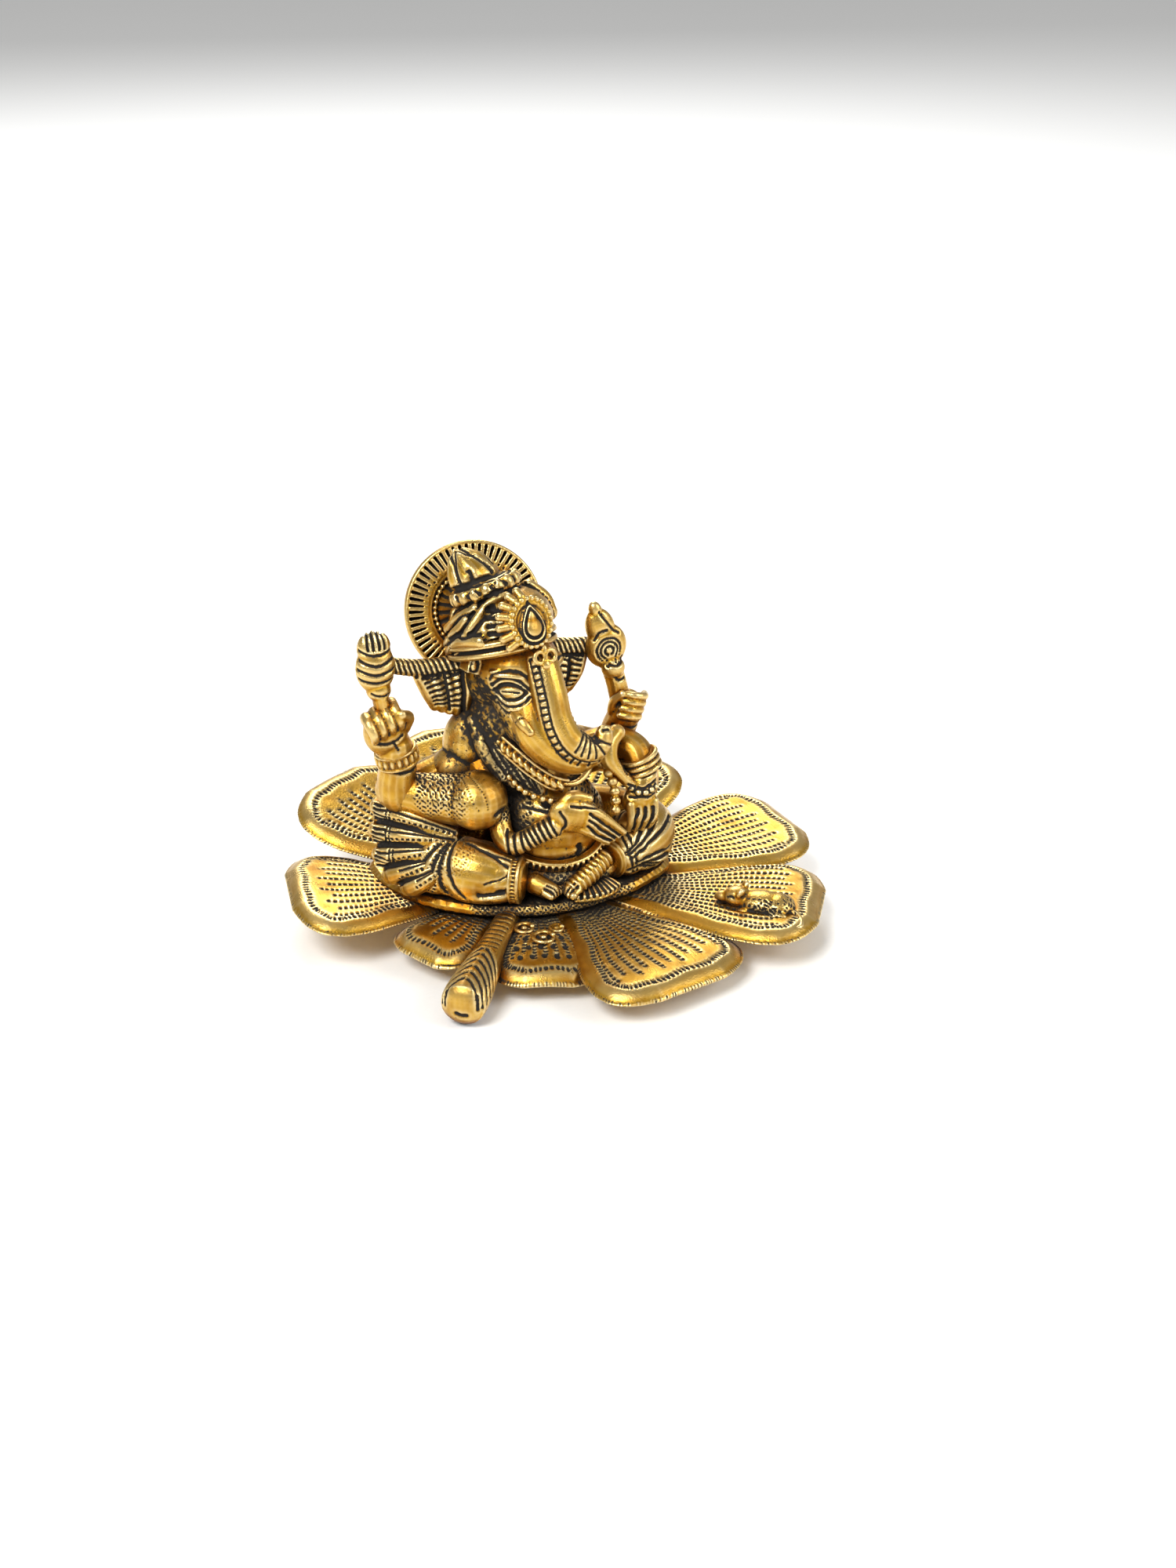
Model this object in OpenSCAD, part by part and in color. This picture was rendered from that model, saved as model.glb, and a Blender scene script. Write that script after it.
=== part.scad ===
// Seated elephant-headed deity on an open flower, with a mouse on one petal.
// Millimetres. Origin: centre of the foot ring's resting face, on the floor.
// +Z is up, the figure looks along -Y, its right side is at -X.
// The flower is one casting and the figure another; a screw from below joins them.

/* [Flower] */
// Distance from the centre to a petal's tip
flower_r = 76; // [60:1:100]
// Greatest width of a petal
petal_w = 45; // [34:1:60]
// Thickness of the petal sheet
petal_t = 3.4; // [2.4:0.1:5]
// Height of the flower's flat centre above the floor
hub_h = 12; // [10:0.5:18]
// Radius of the flower's flat centre
hub_r = 22; // [18:0.5:28]
// Length of the stem, from the centre to its cut end
stem_reach = 67; // [50:1:90]
// Diameter of the stem's cut end
stem_d = 12.4; // [8:0.2:16]

/* [Figure] */
// Height of the figure above its seat plate
figure_h = 92; // [68:1:114]
// Thickness of the seat plate
seat_t = 3; // [2:0.2:6]

/* [Fixing] */
// Nominal diameter of the screw that holds the figure to the flower
screw_d = 5; // [3:0.5:8]
// Radial gap around the screw where it passes through the flower
screw_gap = 0.3; // [0.1:0.05:0.6]
// Length of thread in the figure's boss
thread_l = 9; // [6:0.5:14]

/* [Output] */
// Which sub-part to build

/* [Hidden] */

gold = [0.80, 0.60, 0.22];
steel = [0.55, 0.56, 0.58];
facets = 14;              // sides of a sculpted ball
fan_pleats = 7;

// Foot ring, screw and the boss it enters
wall = 3;                 // foot ring's wall
web_t = 3.2;              // thickness of the flower's centre
recess_h = hub_h - web_t; // hollow under the flower's centre
head_d = screw_d * 1.7;
head_h = screw_d * 0.62;
washer_d = screw_d * 2.2;
washer_t = screw_d * 0.2;
boss_d = screw_d * 2.4;
boss_h = thread_l + 1.5 - seat_t;
bore_r = screw_d / 2 + screw_gap;
screw_l = web_t + washer_t + thread_l;
seat_z = hub_h;           // underside of the seat plate
fig_z = seat_z + seat_t;  // the figure stands here
fig_k = figure_h / 92;    // the sculpted sizes below are for a 92 mm figure
flower_k = flower_r / 76; // petal_w is for a 76 mm flower and grows with it

// Flower: angles about +Z, measured from +X
stem_turn = -127;
petal_turns = [-73, -33, 3.5, 46, 87, 127, 170.5];
petal_reach = [0.9, 1.06, 1.07, 0.87, 1.0, 0.92, 0.89];   // each petal's share of flower_r
petal_lift = [-2.5, 1, 3.5, 13, 16, 15, 5];   // how far each tip stands above the centre
leaf_turns = [-150, -106];
leaf_reach = [48, 51] / 76;
leaf_w = [24, 27] / 45;
leaf_lift = [-2.5, -3.5];

// Petal outline: distance along the petal and half-width, both as shares of the full sizes
petal_along = [0.24, 0.36, 0.48, 0.60, 0.72, 0.82, 0.90, 0.955, 0.985, 1.0];
petal_half = [0.30, 0.43, 0.58, 0.74, 0.92, 1.0, 0.97, 0.83, 0.66, 0.50];
petal_roll = [0, 0, 0, 0, 0, 0, 0.1, 0.35, 0.8, 1.4];   // tip rolls down, mm
petal_across = [-1, -0.86, -0.5, 0, 0.5, 0.86, 1];
edge_roll = [1.7, 0.4, 0, 0, 0, 0.4, 1.7];              // sides roll down, mm

// Height of a petal's upper face, a share s of the way along it
function petal_top(s, lift) =
    let (t = max(0, (s - 0.24) / 0.76)) hub_h - 0.6 + lift * pow(t, 1.6);

// Distance of row i from the centre; the root stays inside the hub however long the petal is
function row_x(i, reach) =
    i == 0 ? min(petal_along[0] * reach, hub_r - 2) : petal_along[i] * reach;

// Sculpted paths: x, y, z above the seat plate, and radius
torso_core = [[0, 5, 13, 14], [4, -5, 17, 14.5], [-1, 3, 31, 12.5], [-3, 3, 41, 7.5]];
shoulders = [[-16.5, 5.5, 38.5, 8.5], [14, 6, 30.5, 7]];
right_leg_path = [[-13, 8, 10.2, 10], [-27, -1, 8.6, 8.6], [-20, -12, 9.6, 9.6], [-8, -19, 6.2, 5.6]];
left_leg_path = [[13, 8, 9.6, 9.6], [32, -4, 8, 8], [27, -11, 7.6, 7.6], [14, -17.5, 6, 5]];
right_foot_path = [[-5.5, -20, 4.4, 3.4], [-2.4, -22.6, 3.2, 2.8]];
left_foot_path = [[11.5, -18, 5.8, 3.6], [2.5, -23.6, 2.8, 2.7]];
right_rear_path = [[-17, 6, 32, 6], [-35, 5, 25.5, 6.2], [-36.5, 3, 38, 5.2], [-41, 1, 48, 7]];
left_rear_path = [[16, 7, 31, 6], [28, 5, 28, 6], [26.5, 3, 36, 5], [28.5, 1, 43, 5.6]];
right_front_path = [[-14, 3, 33, 6.5], [-13, -6, 27, 4.6], [-12.4, -11.5, 20.5, 4.2],
    [-7, -17, 18.2, 3.9], [0.5, -18.6, 21.4, 3.8], [6.5, -19.5, 23.8, 4.8], [13, -21.5, 19.6, 3.4],
    [17.5, -21, 15, 1.9]];
left_front_path = [[17, 2, 31, 6], [25, -5, 34.5, 5], [27.5, -10, 30, 5], [26.5, -13, 20, 4.6],
    [25, -13, 16, 2.4]];
bolster_path = [[-37, 5.5, 27.5, 6], [-29, 1.5, 26.2, 7.4], [-16.5, -9, 26.6, 8]];
head_path = [[-5.5, 3, 57, 12], [-4.5, -1.5, 61.5, 12], [-3.5, -9, 49.5, 7.5]];
trunk_path = [[-1, -11, 65, 5], [-0.8, -14.5, 56, 5.6], [1, -16.5, 47, 6], [6.6, -18, 41.4, 5.2],
    [11.5, -18.5, 42, 3.8], [13.6, -18.5, 44.6, 2.8]];
tusk_path = [[-6.8, -11.5, 50, 2.1], [-6.2, -16, 48.6, 1.4]];
necklace_path = [[-12, -6, 40, 1.6], [-6, -12, 35, 2.2], [3, -15, 31.5, 2.4], [11, -13, 33, 2.2],
    [15, -5, 38, 1.6]];
bead_path = [[15, -8, 36, 1.4], [19, -14, 29, 1.4], [17, -17, 21, 1.4]];
axe_path = [[-41.5, 0, 53, 2.6], [-43, 0, 63, 3.8], [-43.8, 0, 69, 4.6], [-43, 0, 76, 2.2]];
conch_path = [[26.5, 1.5, 46, 2.8], [24.8, 1.8, 54, 3], [22.3, 2, 62.5, 5.2], [19.6, 2, 74, 1.4]];

halo_c = [-10.6, 15, 72.3];
halo_r = 19;
crown_lean = [-19, -16, 0];   // the crown leans back and to the figure's right
crown_c = [-4.3, -1.2, 60.74];
jewel_c = [-4.8, -12, 77.4];

// A sculpted limb: a hull between each two balls of the path
module limb(path) {
    for (i = [0:len(path) - 2])
        hull() for (p = [path[i], path[i + 1]])
            translate([p[0], p[1], p[2]]) sphere(r = p[3], $fn = facets);
}

// Places a sculpted piece on the seat plate at the figure's size
module on_seat() translate([0, 0, fig_z]) scale(fig_k) children();

// One petal or leaf lying along +X: rows of points over the upper and lower faces
module petal_sheet(reach, width, lift) {
    n = len(petal_across);
    rows = len(petal_along);
    top = [for (i = [0:rows - 1], j = [0:n - 1])
        [row_x(i, reach), petal_across[j] * petal_half[i] * width / 2,
            petal_top(petal_along[i], lift) - edge_roll[j] - petal_roll[i]]];
    low = [for (i = [0:rows - 1], j = [0:n - 1])
        top[i * n + j] - [0, 0, petal_t - (j == 0 || j == n - 1 ? 1.2 : 0)]];
    m = rows * n;
    polyhedron(points = concat(top, low), faces = concat(
        [for (i = [0:rows - 2], j = [0:n - 2]) each [
            [i * n + j, i * n + j + 1, (i + 1) * n + j],
            [i * n + j + 1, (i + 1) * n + j + 1, (i + 1) * n + j],
            [m + i * n + j, m + (i + 1) * n + j, m + i * n + j + 1],
            [m + i * n + j + 1, m + (i + 1) * n + j, m + (i + 1) * n + j + 1]]],
        [for (i = [0:rows - 2]) each [
            [i * n, (i + 1) * n, m + i * n], [(i + 1) * n, m + (i + 1) * n, m + i * n],
            [i * n + n - 1, m + i * n + n - 1, (i + 1) * n + n - 1],
            [(i + 1) * n + n - 1, m + i * n + n - 1, m + (i + 1) * n + n - 1]]],
        [for (j = [0:n - 2]) each [
            [j, m + j, j + 1], [j + 1, m + j, m + j + 1],
            [m - n + j, m - n + j + 1, m + m - n + j],
            [m - n + j + 1, m + m - n + j + 1, m + m - n + j]]]));
}

module petal(k) color(gold) rotate([0, 0, petal_turns[k]])
    petal_sheet(flower_r * petal_reach[k], petal_w * flower_k, petal_lift[k]);

module leaf(k) color(gold) rotate([0, 0, leaf_turns[k]])
    petal_sheet(flower_r * leaf_reach[k], petal_w * flower_k * leaf_w[k], leaf_lift[k]);

// Flat centre of the flower with its foot ring and the screw's clearance hole
module flower_hub() color(gold) difference() {
    cylinder(h = hub_h, r = hub_r, $fn = 96);
    translate([0, 0, -1]) cylinder(h = recess_h + 1, r = hub_r - wall, $fn = 96);
    translate([0, 0, recess_h - 1]) cylinder(h = web_t + 2, r = bore_r, $fn = 48);
}

// Stem: thick at its cut end, with a shallow drilled mark in the cut
module stem() color(gold) {
    drop = hub_h - 2.2 - stem_d / 2 - 0.3;
    start = hub_r + 0.4;
    run = stem_reach - start;
    lean = atan(drop / run);
    rotate([0, 0, stem_turn]) translate([start, 0, hub_h - 2.2]) rotate([0, 90 + lean, 0])
        difference() {
            cylinder(h = run / cos(lean), r1 = stem_d * 0.24, r2 = stem_d / 2, $fn = 48);
            translate([0, 0, run / cos(lean) - 0.8]) cylinder(h = 2, r = stem_d * 0.14, $fn = 24);
        }
}

// Mouse lying along its petal, nose to the centre, belly on the petal's upper face
module mouse() {
    z = petal_top(0.8, petal_lift[1]);
    color(gold) rotate([0, 0, petal_turns[1] - 8]) translate([0, 0, z]) difference() {
        union() {
            limb([[flower_r * 0.70, 0, 1.8, 2], [flower_r * 0.76, 0, 3, 4],
                [flower_r * 0.88, 0, 3, 5.2], [flower_r * 0.93, 0, 1, 3]]);
            limb([[flower_r * 0.90, 4, 0.8, 1.6], [flower_r * 0.96, 8, -0.2, 1]]);
        }
        translate([flower_r * 0.6, -20, -12]) cube([flower_r * 0.45, 40, 11.6]);
    }
}

module fixing_screw() color(steel) {
    translate([0, 0, recess_h - washer_t - head_h]) cylinder(h = head_h, d = head_d, $fn = 48);
    translate([0, 0, recess_h - washer_t]) cylinder(h = screw_l, d = screw_d, $fn = 48);
}

module fixing_washer() color(steel) translate([0, 0, recess_h - washer_t]) difference() {
    cylinder(h = washer_t, d = washer_d, $fn = 48);
    translate([0, 0, -1]) cylinder(h = washer_t + 2, r = bore_r, $fn = 48);
}

// Seat plate under the crossed legs, with the threaded boss that rises into the torso
module seat_plate() color(gold) difference() {
    union() {
        translate([0, 0, seat_z]) linear_extrude(seat_t) scale(fig_k) polygon([
            [-42, 21], [-41.5, 7], [-34, -7], [-26, -15], [-15, -21], [0, -24.5], [14, -22.5],
            [29, -17], [37, -11.5], [38.5, -2], [33, 14], [20, 21.5], [0, 24.5], [-24, 25]]);
        translate([0, 0, fig_z]) cylinder(h = boss_h, d = boss_d, $fn = 64);
    }
    translate([0, 0, seat_z - 1]) cylinder(h = thread_l + 1, d = screw_d, $fn = 48);
}

// Body from lap to neck, hollow where the boss stands
module torso() color(gold) difference() {
    on_seat() {
        limb([torso_core[0], torso_core[1]]);
        limb([torso_core[0], torso_core[2]]);
        limb([torso_core[1], torso_core[2]]);
        limb([torso_core[2], torso_core[3]]);
        limb(shoulders);
    }
    translate([-50, -50, fig_z - 30]) cube([100, 100, 30]);
    translate([0, 0, fig_z - 1]) cylinder(h = boss_h + 1, d = boss_d, $fn = 64);
}

// Cut flat where it meets the seat, and cleared where the boss stands
module cut_at_seat() difference() {
    children();
    translate([-60, -60, fig_z - 30]) cube([120, 120, 30]);
    translate([0, 0, fig_z - 1]) cylinder(h = boss_h + 1, d = boss_d, $fn = 64);
}

module belly_band() color(gold) on_seat() translate([3, -4, 13]) rotate([24, 0, 0])
    difference() {
        cylinder(h = 3.2, r = 16.6, $fn = 64);
        translate([0, 0, -1]) cylinder(h = 6, r = 14.4, $fn = 64);
    }

module right_leg() color(gold) cut_at_seat() on_seat() limb(right_leg_path);
module left_leg() color(gold) cut_at_seat() on_seat() limb(left_leg_path);
module right_foot() color(gold) on_seat() limb(right_foot_path);
module left_foot() color(gold) on_seat() limb(left_foot_path);

// Hems of the cloth around both ankles
module ankle_cuffs() color(gold) on_seat() {
    translate([-9.5, -18.5, 6.4]) rotate([0, 90, -28]) cylinder(h = 3, r = 6.4, $fn = 40);
    translate([14, -16.5, 6.2]) rotate([0, 90, 32]) cylinder(h = 3, r = 6, $fn = 40);
}

// Pleated end of the cloth, spread like a fan in front of the crossed ankles
module hem_fan() color(gold) on_seat() translate([8, -13, 0]) linear_extrude(2.6)
    polygon(concat(
        [for (i = [0:2 * fan_pleats]) let (a = -108 + i * 62 / (2 * fan_pleats),
            r = i % 2 == 0 ? 11.4 : 12.6) [r * cos(a), r * sin(a)]],
        [for (i = [6:-1:0]) let (a = -108 + i * 62 / 6) [4 * cos(a), 4 * sin(a)]]));

// Cloth over the right hip, its fringe in three bundles
module hip_cloth() color(gold) on_seat() for (i = [0:2])
    hull() {
        translate([-33 + i * 1.5, 13 - i * 7, 16 - i * 5.5]) sphere(r = 3, $fn = facets);
        translate([-42.5 + i * 0.8, 12.5 - i * 5, 16 - i * 5.4]) sphere(r = 2.4, $fn = facets);
        translate([-41.5 + i * 1.2, 9 - i * 6, 12.4 - i * 4.8]) sphere(r = 2.4, $fn = facets);
        translate([-28 + i * 2, 7 - i * 6, 14 - i * 4]) sphere(r = 3, $fn = facets);
    }

module bolster() color(gold) on_seat() limb(bolster_path);
module right_rear_arm() color(gold) on_seat() limb(right_rear_path);
module left_rear_arm() color(gold) on_seat() limb(left_rear_path);
module right_front_arm() color(gold) on_seat() limb(right_front_path);
module left_front_arm() color(gold) on_seat() limb(left_front_path);

module right_bangle() color(gold) on_seat() translate([-37, 3, 36.5]) rotate([0, -12, 0])
    cylinder(h = 4.6, r = 6, $fn = 40);
module left_armlet() color(gold) on_seat() translate([27.2, -10, 33.5]) rotate([0, 160, -20])
    cylinder(h = 5, r = 5.8, $fn = 40);

module axe() color(gold) on_seat() limb(axe_path);
module conch() color(gold) on_seat() limb(conch_path);
module head() color(gold) on_seat() limb(head_path);
module trunk() color(gold) on_seat() limb(trunk_path);
module tusk() color(gold) on_seat() limb(tusk_path);

// Ears: a rolled upper edge and the flap that hangs from it
module right_ear() color(gold) on_seat() {
    limb([[-13, 5, 63.5, 2.8], [-25, 5, 61.6, 2.6], [-38.5, 4, 64.5, 2.3]]);
    hull() for (p = [[-13, 5, 61, 2.2], [-29, 5, 60, 2], [-25, 6, 50.5, 1.8], [-15, 6, 46, 2]])
        translate([p[0], p[1], p[2]]) sphere(r = p[3], $fn = facets);
}
module left_ear() color(gold) on_seat() {
    limb([[5, 4, 63, 2.8], [14, 5, 62, 2.5], [23, 4, 61.8, 2.3]]);
    hull() for (p = [[6, 5, 61, 2.2], [16, 5, 59.5, 2], [13, 6, 50, 1.8], [7, 6, 46, 2]])
        translate([p[0], p[1], p[2]]) sphere(r = p[3], $fn = facets);
}

module brow_band() color(gold) on_seat() translate([-7.4, 0.8, 65.4]) rotate([-17, -5, 0])
    cylinder(h = 4.4, r1 = 14.6, r2 = 15, $fn = 72);
module brow_curl() color(gold) on_seat() translate([-1.6, -14, 69.4]) rotate([74, 0, 10])
    rotate_extrude($fn = 32) translate([2.2, 0]) circle(r = 1.1, $fn = 16);

// Crown: a dome, a ribbed collar and a pointed cap, stacked on the brow band
module crown() color(gold) on_seat() translate(crown_c) rotate(crown_lean)
{
    rotate_extrude($fn = 64) polygon([[0, 8], [13.8, 8], [14.6, 11], [14.2, 14], [12.6, 17],
        [10.2, 19.2], [8.8, 20], [8.8, 20.6], [9.4, 21.2], [9.6, 22.8], [9.2, 24.6], [7, 25.2],
        [0, 25.2]]);
    translate([-1.2, 0, 24]) rotate([0, -14, 0])
        rotate_extrude($fn = 64) polygon([[0, 0], [6.6, 0], [6.6, 2.5], [6, 5], [4.4, 8],
            [2, 10.8], [0, 12]]);
}

module crown_jewel() color(gold) on_seat() translate(jewel_c) rotate([70, 0, 15]) {
    cylinder(h = 1.8, r = 7, $fn = 48);
    translate([0, 0, 1.8]) cylinder(h = 1.6, r1 = 4.2, r2 = 2.6, $fn = 32);
}

// Round halo behind the head: a dished disc with a raised rim
module halo() color(gold) on_seat() translate(halo_c) rotate([72, 0, -8]) difference() {
    translate([0, 0, -1.6]) cylinder(h = 3.2, r = halo_r, $fn = 96);
    translate([0, 0, 0.6]) cylinder(h = 3, r = halo_r * 0.74, $fn = 96);
}

module necklace() color(gold) on_seat() limb(necklace_path);
module bead_string() color(gold) on_seat() limb(bead_path);

flower_hub();
petal(0);  // petal_1
petal(1);  // petal_2
petal(2);  // petal_3
petal(3);  // petal_4
petal(4);  // petal_5
petal(5);  // petal_6
petal(6);  // petal_7
leaf(0);  // leaf_left
leaf(1);  // leaf_right
stem();
mouse();
fixing_screw();
fixing_washer();
seat_plate();
torso();
belly_band();
right_leg();
left_leg();
right_foot();
left_foot();
ankle_cuffs();
hem_fan();
hip_cloth();
bolster();
right_rear_arm();
right_bangle();
left_rear_arm();
right_front_arm();
left_front_arm();
left_armlet();
axe();
conch();
head();
trunk();
tusk();
right_ear();
left_ear();
brow_band();
brow_curl();
crown();
crown_jewel();
halo();
necklace();
bead_string();
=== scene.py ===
"""Antique gold figurine of a seated elephant-headed deity on an open flower, dressed over its solids."""

import math

import bpy
import numpy as np
from mathutils import Euler, Matrix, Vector
from mathutils.kdtree import KDTree


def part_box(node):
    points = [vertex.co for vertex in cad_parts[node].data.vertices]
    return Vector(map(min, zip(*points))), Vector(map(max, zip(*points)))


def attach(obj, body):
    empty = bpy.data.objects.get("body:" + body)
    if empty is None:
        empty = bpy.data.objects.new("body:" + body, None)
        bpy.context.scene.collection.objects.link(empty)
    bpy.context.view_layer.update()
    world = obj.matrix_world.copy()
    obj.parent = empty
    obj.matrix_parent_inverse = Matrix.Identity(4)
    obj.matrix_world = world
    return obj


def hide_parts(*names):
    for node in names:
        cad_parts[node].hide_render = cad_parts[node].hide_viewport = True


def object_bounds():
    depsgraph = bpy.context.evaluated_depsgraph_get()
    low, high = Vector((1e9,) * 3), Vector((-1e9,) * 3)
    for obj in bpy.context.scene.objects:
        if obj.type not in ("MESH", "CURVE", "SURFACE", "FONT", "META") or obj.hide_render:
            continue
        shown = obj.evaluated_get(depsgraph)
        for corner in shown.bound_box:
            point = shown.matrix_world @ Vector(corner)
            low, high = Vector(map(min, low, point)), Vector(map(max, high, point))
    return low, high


bl_info = {
    "name": "Gold Flower Deity",
    "version": (1, 0, 0),
    "blender": (4, 5, 0),
    "location": "View3D > Sidebar > Statue",
    "description": "Builds the chased and patinated metal of a seated deity on a flower",
    "category": "Object",
}

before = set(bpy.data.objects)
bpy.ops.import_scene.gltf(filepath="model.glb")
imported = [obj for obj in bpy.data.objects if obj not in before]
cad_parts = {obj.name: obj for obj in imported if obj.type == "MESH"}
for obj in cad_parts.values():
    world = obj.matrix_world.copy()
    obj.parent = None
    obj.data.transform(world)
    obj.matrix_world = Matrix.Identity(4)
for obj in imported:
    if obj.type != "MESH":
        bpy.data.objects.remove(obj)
CAD_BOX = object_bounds()
MM = 0.001
COARSER = 1


def box_mm(node):
    """A solid's lowest and highest corner in millimetres."""
    low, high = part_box(node)
    return np.array(low) / MM, np.array(high) / MM


def mesh_mm(node):
    """A solid's points in millimetres."""
    return np.array([v.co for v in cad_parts[node].data.vertices]) / MM


SEAT_TOP = box_mm("right_leg")[0][2]
HUB_TOP = box_mm("flower_hub")[1][2]
SCULPTED_TOP = 92.0     # height of the crown's tip above the seat in the sculptor's own sizes
FIG_K = (box_mm("crown")[1][2] - SEAT_TOP) / SCULPTED_TOP


def linear(code):
    """An sRGB hex colour as linear RGBA."""
    parts = [int(code[i:i + 2], 16) / 255 for i in (1, 3, 5)]
    return [p / 12.92 if p <= 0.04045 else ((p + 0.055) / 1.055) ** 2.4 for p in parts] + [1.0]


# ---------------------------------------------------------------- places

class Spot:
    """A local place: its origin, turn and scale, giving millimetres in the object's frame."""

    def __init__(self, origin, turn=(0, 0, 0), k=1.0, base=None):
        r = np.array(Euler([math.radians(a) for a in turn]).to_matrix())
        if base is None:
            self.o, self.r, self.k = np.array(origin, float), r, k
        else:
            self.o, self.r, self.k = base(np.array(origin, float)), base.r @ r, base.k * k

    def __call__(self, p):
        return np.asarray(p, float) @ self.r.T * self.k + self.o

    def spot(self, origin, turn=(0, 0, 0)):
        return Spot(origin, turn, 1.0, self)

    def euler(self, turn=(0, 0, 0)):
        own = np.array(Euler([math.radians(a) for a in turn]).to_matrix())
        return Matrix((self.r @ own).tolist()).to_euler()


FIG = Spot((0, 0, SEAT_TOP), k=FIG_K)
ROW = Spot((0, 0, 0))


# ---------------------------------------------------------------- modelling

def only(o):
    bpy.ops.object.select_all(action="DESELECT")
    o.select_set(True)
    bpy.context.view_layer.objects.active = o
    return o


def apply(o, kind, **settings):
    """Adds a modifier to a mesh and applies it."""
    m = o.modifiers.new(kind.lower(), kind)
    for key, value in settings.items():
        setattr(m, key, value)
    only(o)
    bpy.ops.object.modifier_apply(modifier=m.name)
    return o


def points(o):
    co = np.empty(len(o.data.vertices) * 3)
    o.data.vertices.foreach_get("co", co)
    return co.reshape(-1, 3)


def move_to(o, co):
    o.data.vertices.foreach_set("co", np.ascontiguousarray(co, float).ravel())
    o.data.update()


def settle(o):
    """Puts an object's place, turn and scale into its mesh."""
    only(o)
    bpy.ops.object.transform_apply(location=True, rotation=True, scale=True)
    return o


def close_up(o):
    """Merges doubled points and turns all faces outwards."""
    only(o)
    bpy.ops.object.mode_set(mode="EDIT")
    bpy.ops.mesh.select_all(action="SELECT")
    bpy.ops.mesh.remove_doubles(threshold=1e-6)
    bpy.ops.mesh.normals_make_consistent(inside=False)
    bpy.ops.object.mode_set(mode="OBJECT")
    return o


def blob(c, r, at=FIG, turn=(0, 0, 0), seg=24):
    """An egg of metal: centre, one radius or three, and its turn."""
    bpy.ops.object.select_all(action="DESELECT")
    bpy.ops.mesh.primitive_uv_sphere_add(segments=seg, ring_count=seg * 2 // 3, radius=MM, location=at(c) * MM,
            rotation=at.euler(turn))
    o = bpy.context.object
    o.scale = np.ones(3) * np.array(r) * at.k
    return o


def slab(c, size, at=FIG, turn=(0, 0, 0)):
    """A small block: centre and full sizes."""
    bpy.ops.object.select_all(action="DESELECT")
    bpy.ops.mesh.primitive_cube_add(size=MM, location=at(c) * MM, rotation=at.euler(turn))
    o = bpy.context.object
    o.scale = np.array(size) * at.k
    return o


def pole(r, a, *rest):
    """x and y at a radius and an angle, then what follows them. Many angles give a row each."""
    return np.stack(np.broadcast_arrays(r * np.cos(a), r * np.sin(a), *rest), -1)


def unit(v):
    return v / np.linalg.norm(v)


def sides_of(t):
    """Two directions square to a limb's direction and to each other."""
    a = unit(np.cross(t, (0, 0, 1)))
    return a, np.cross(a, t)


def circle(n, turns=1.0):
    """Angles in radians round a circle, from its first point to its last."""
    return np.linspace(0, 2 * np.pi * turns, n)


def spline(path, step=0.6):
    """A smooth run of points through rows of numbers, a step apart in the first three."""
    p = np.array(path, float)
    if len(p) < 3:
        t = np.linspace(0, 1, max(2, int(np.linalg.norm(p[-1, :3] - p[0, :3]) / step)))
        return p[0] + (p[-1] - p[0]) * t[:, None]
    q = np.vstack([2 * p[0] - p[1], p, 2 * p[-1] - p[-2]])
    out = []
    for i in range(1, len(q) - 2):
        n = max(2, int(np.linalg.norm(q[i + 1, :3] - q[i, :3]) / step))
        t = np.linspace(0, 1, n, endpoint=False)[:, None]
        a, b, c, d = q[i - 1], q[i], q[i + 1], q[i + 2]
        out.append(0.5 * (2 * b + (c - a) * t + (2 * a - 5 * b + 4 * c - d) * t ** 2
                + (3 * b - a - 3 * c + d) * t ** 3))
    return np.vstack(out + [p[-1:]])


def tube(path, at=FIG, ends=True, sides=3):
    """A rounded limb along rows of x, y, z, radius. Gives a list of meshes."""
    pts = spline(path)
    bpy.ops.object.select_all(action="DESELECT")
    bpy.ops.curve.primitive_nurbs_path_add()
    o = bpy.context.object
    o.location = (0, 0, 0)
    cu = o.data
    cu.splines.clear()
    cu.bevel_depth, cu.bevel_resolution, cu.use_fill_caps = MM, sides, True
    sp = cu.splines.new("POLY")
    sp.points.add(len(pts) - 1)
    sp.points.foreach_set("co", np.hstack([at(pts[:, :3]) * MM, np.ones((len(pts), 1))]).ravel())
    sp.points.foreach_set("radius", np.maximum(pts[:, 3], 0.05) * at.k)
    bpy.ops.object.convert(target="MESH")
    o = bpy.context.object
    if not ends:
        return [o]
    return [o] + [blob(p[:3], p[3], at, seg=16) for p in (pts[0], pts[-1])]


def surface(f, nu, nv, at=FIG):
    """A skin over u and v from 0 to 1, shaped from a flat grid."""
    bpy.ops.object.select_all(action="DESELECT")
    bpy.ops.mesh.primitive_grid_add(x_subdivisions=nu, y_subdivisions=nv, size=2)
    o = bpy.context.object
    co = points(o)
    move_to(o, at(f((co[:, 0] + 1) / 2, (co[:, 1] + 1) / 2)) * MM)
    return close_up(o)


def lathe(profile, at=FIG, seg=72):
    """A turned shape from rows of radius and height."""
    p = np.array(profile, float)
    t = np.linspace(0, 1, len(p))

    def f(u, v):
        r, z = np.interp(u, t, p[:, 0]), np.interp(u, t, p[:, 1])
        return np.stack([r * np.cos(v * 2 * np.pi), r * np.sin(v * 2 * np.pi), z], 1)
    return surface(f, (len(p) - 1) * 3, seg, at)


def join(parts):
    bpy.ops.object.select_all(action="DESELECT")
    for p in parts:
        p.select_set(True)
    bpy.context.view_layer.objects.active = parts[0]
    bpy.ops.object.join()
    return settle(bpy.context.object)


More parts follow.
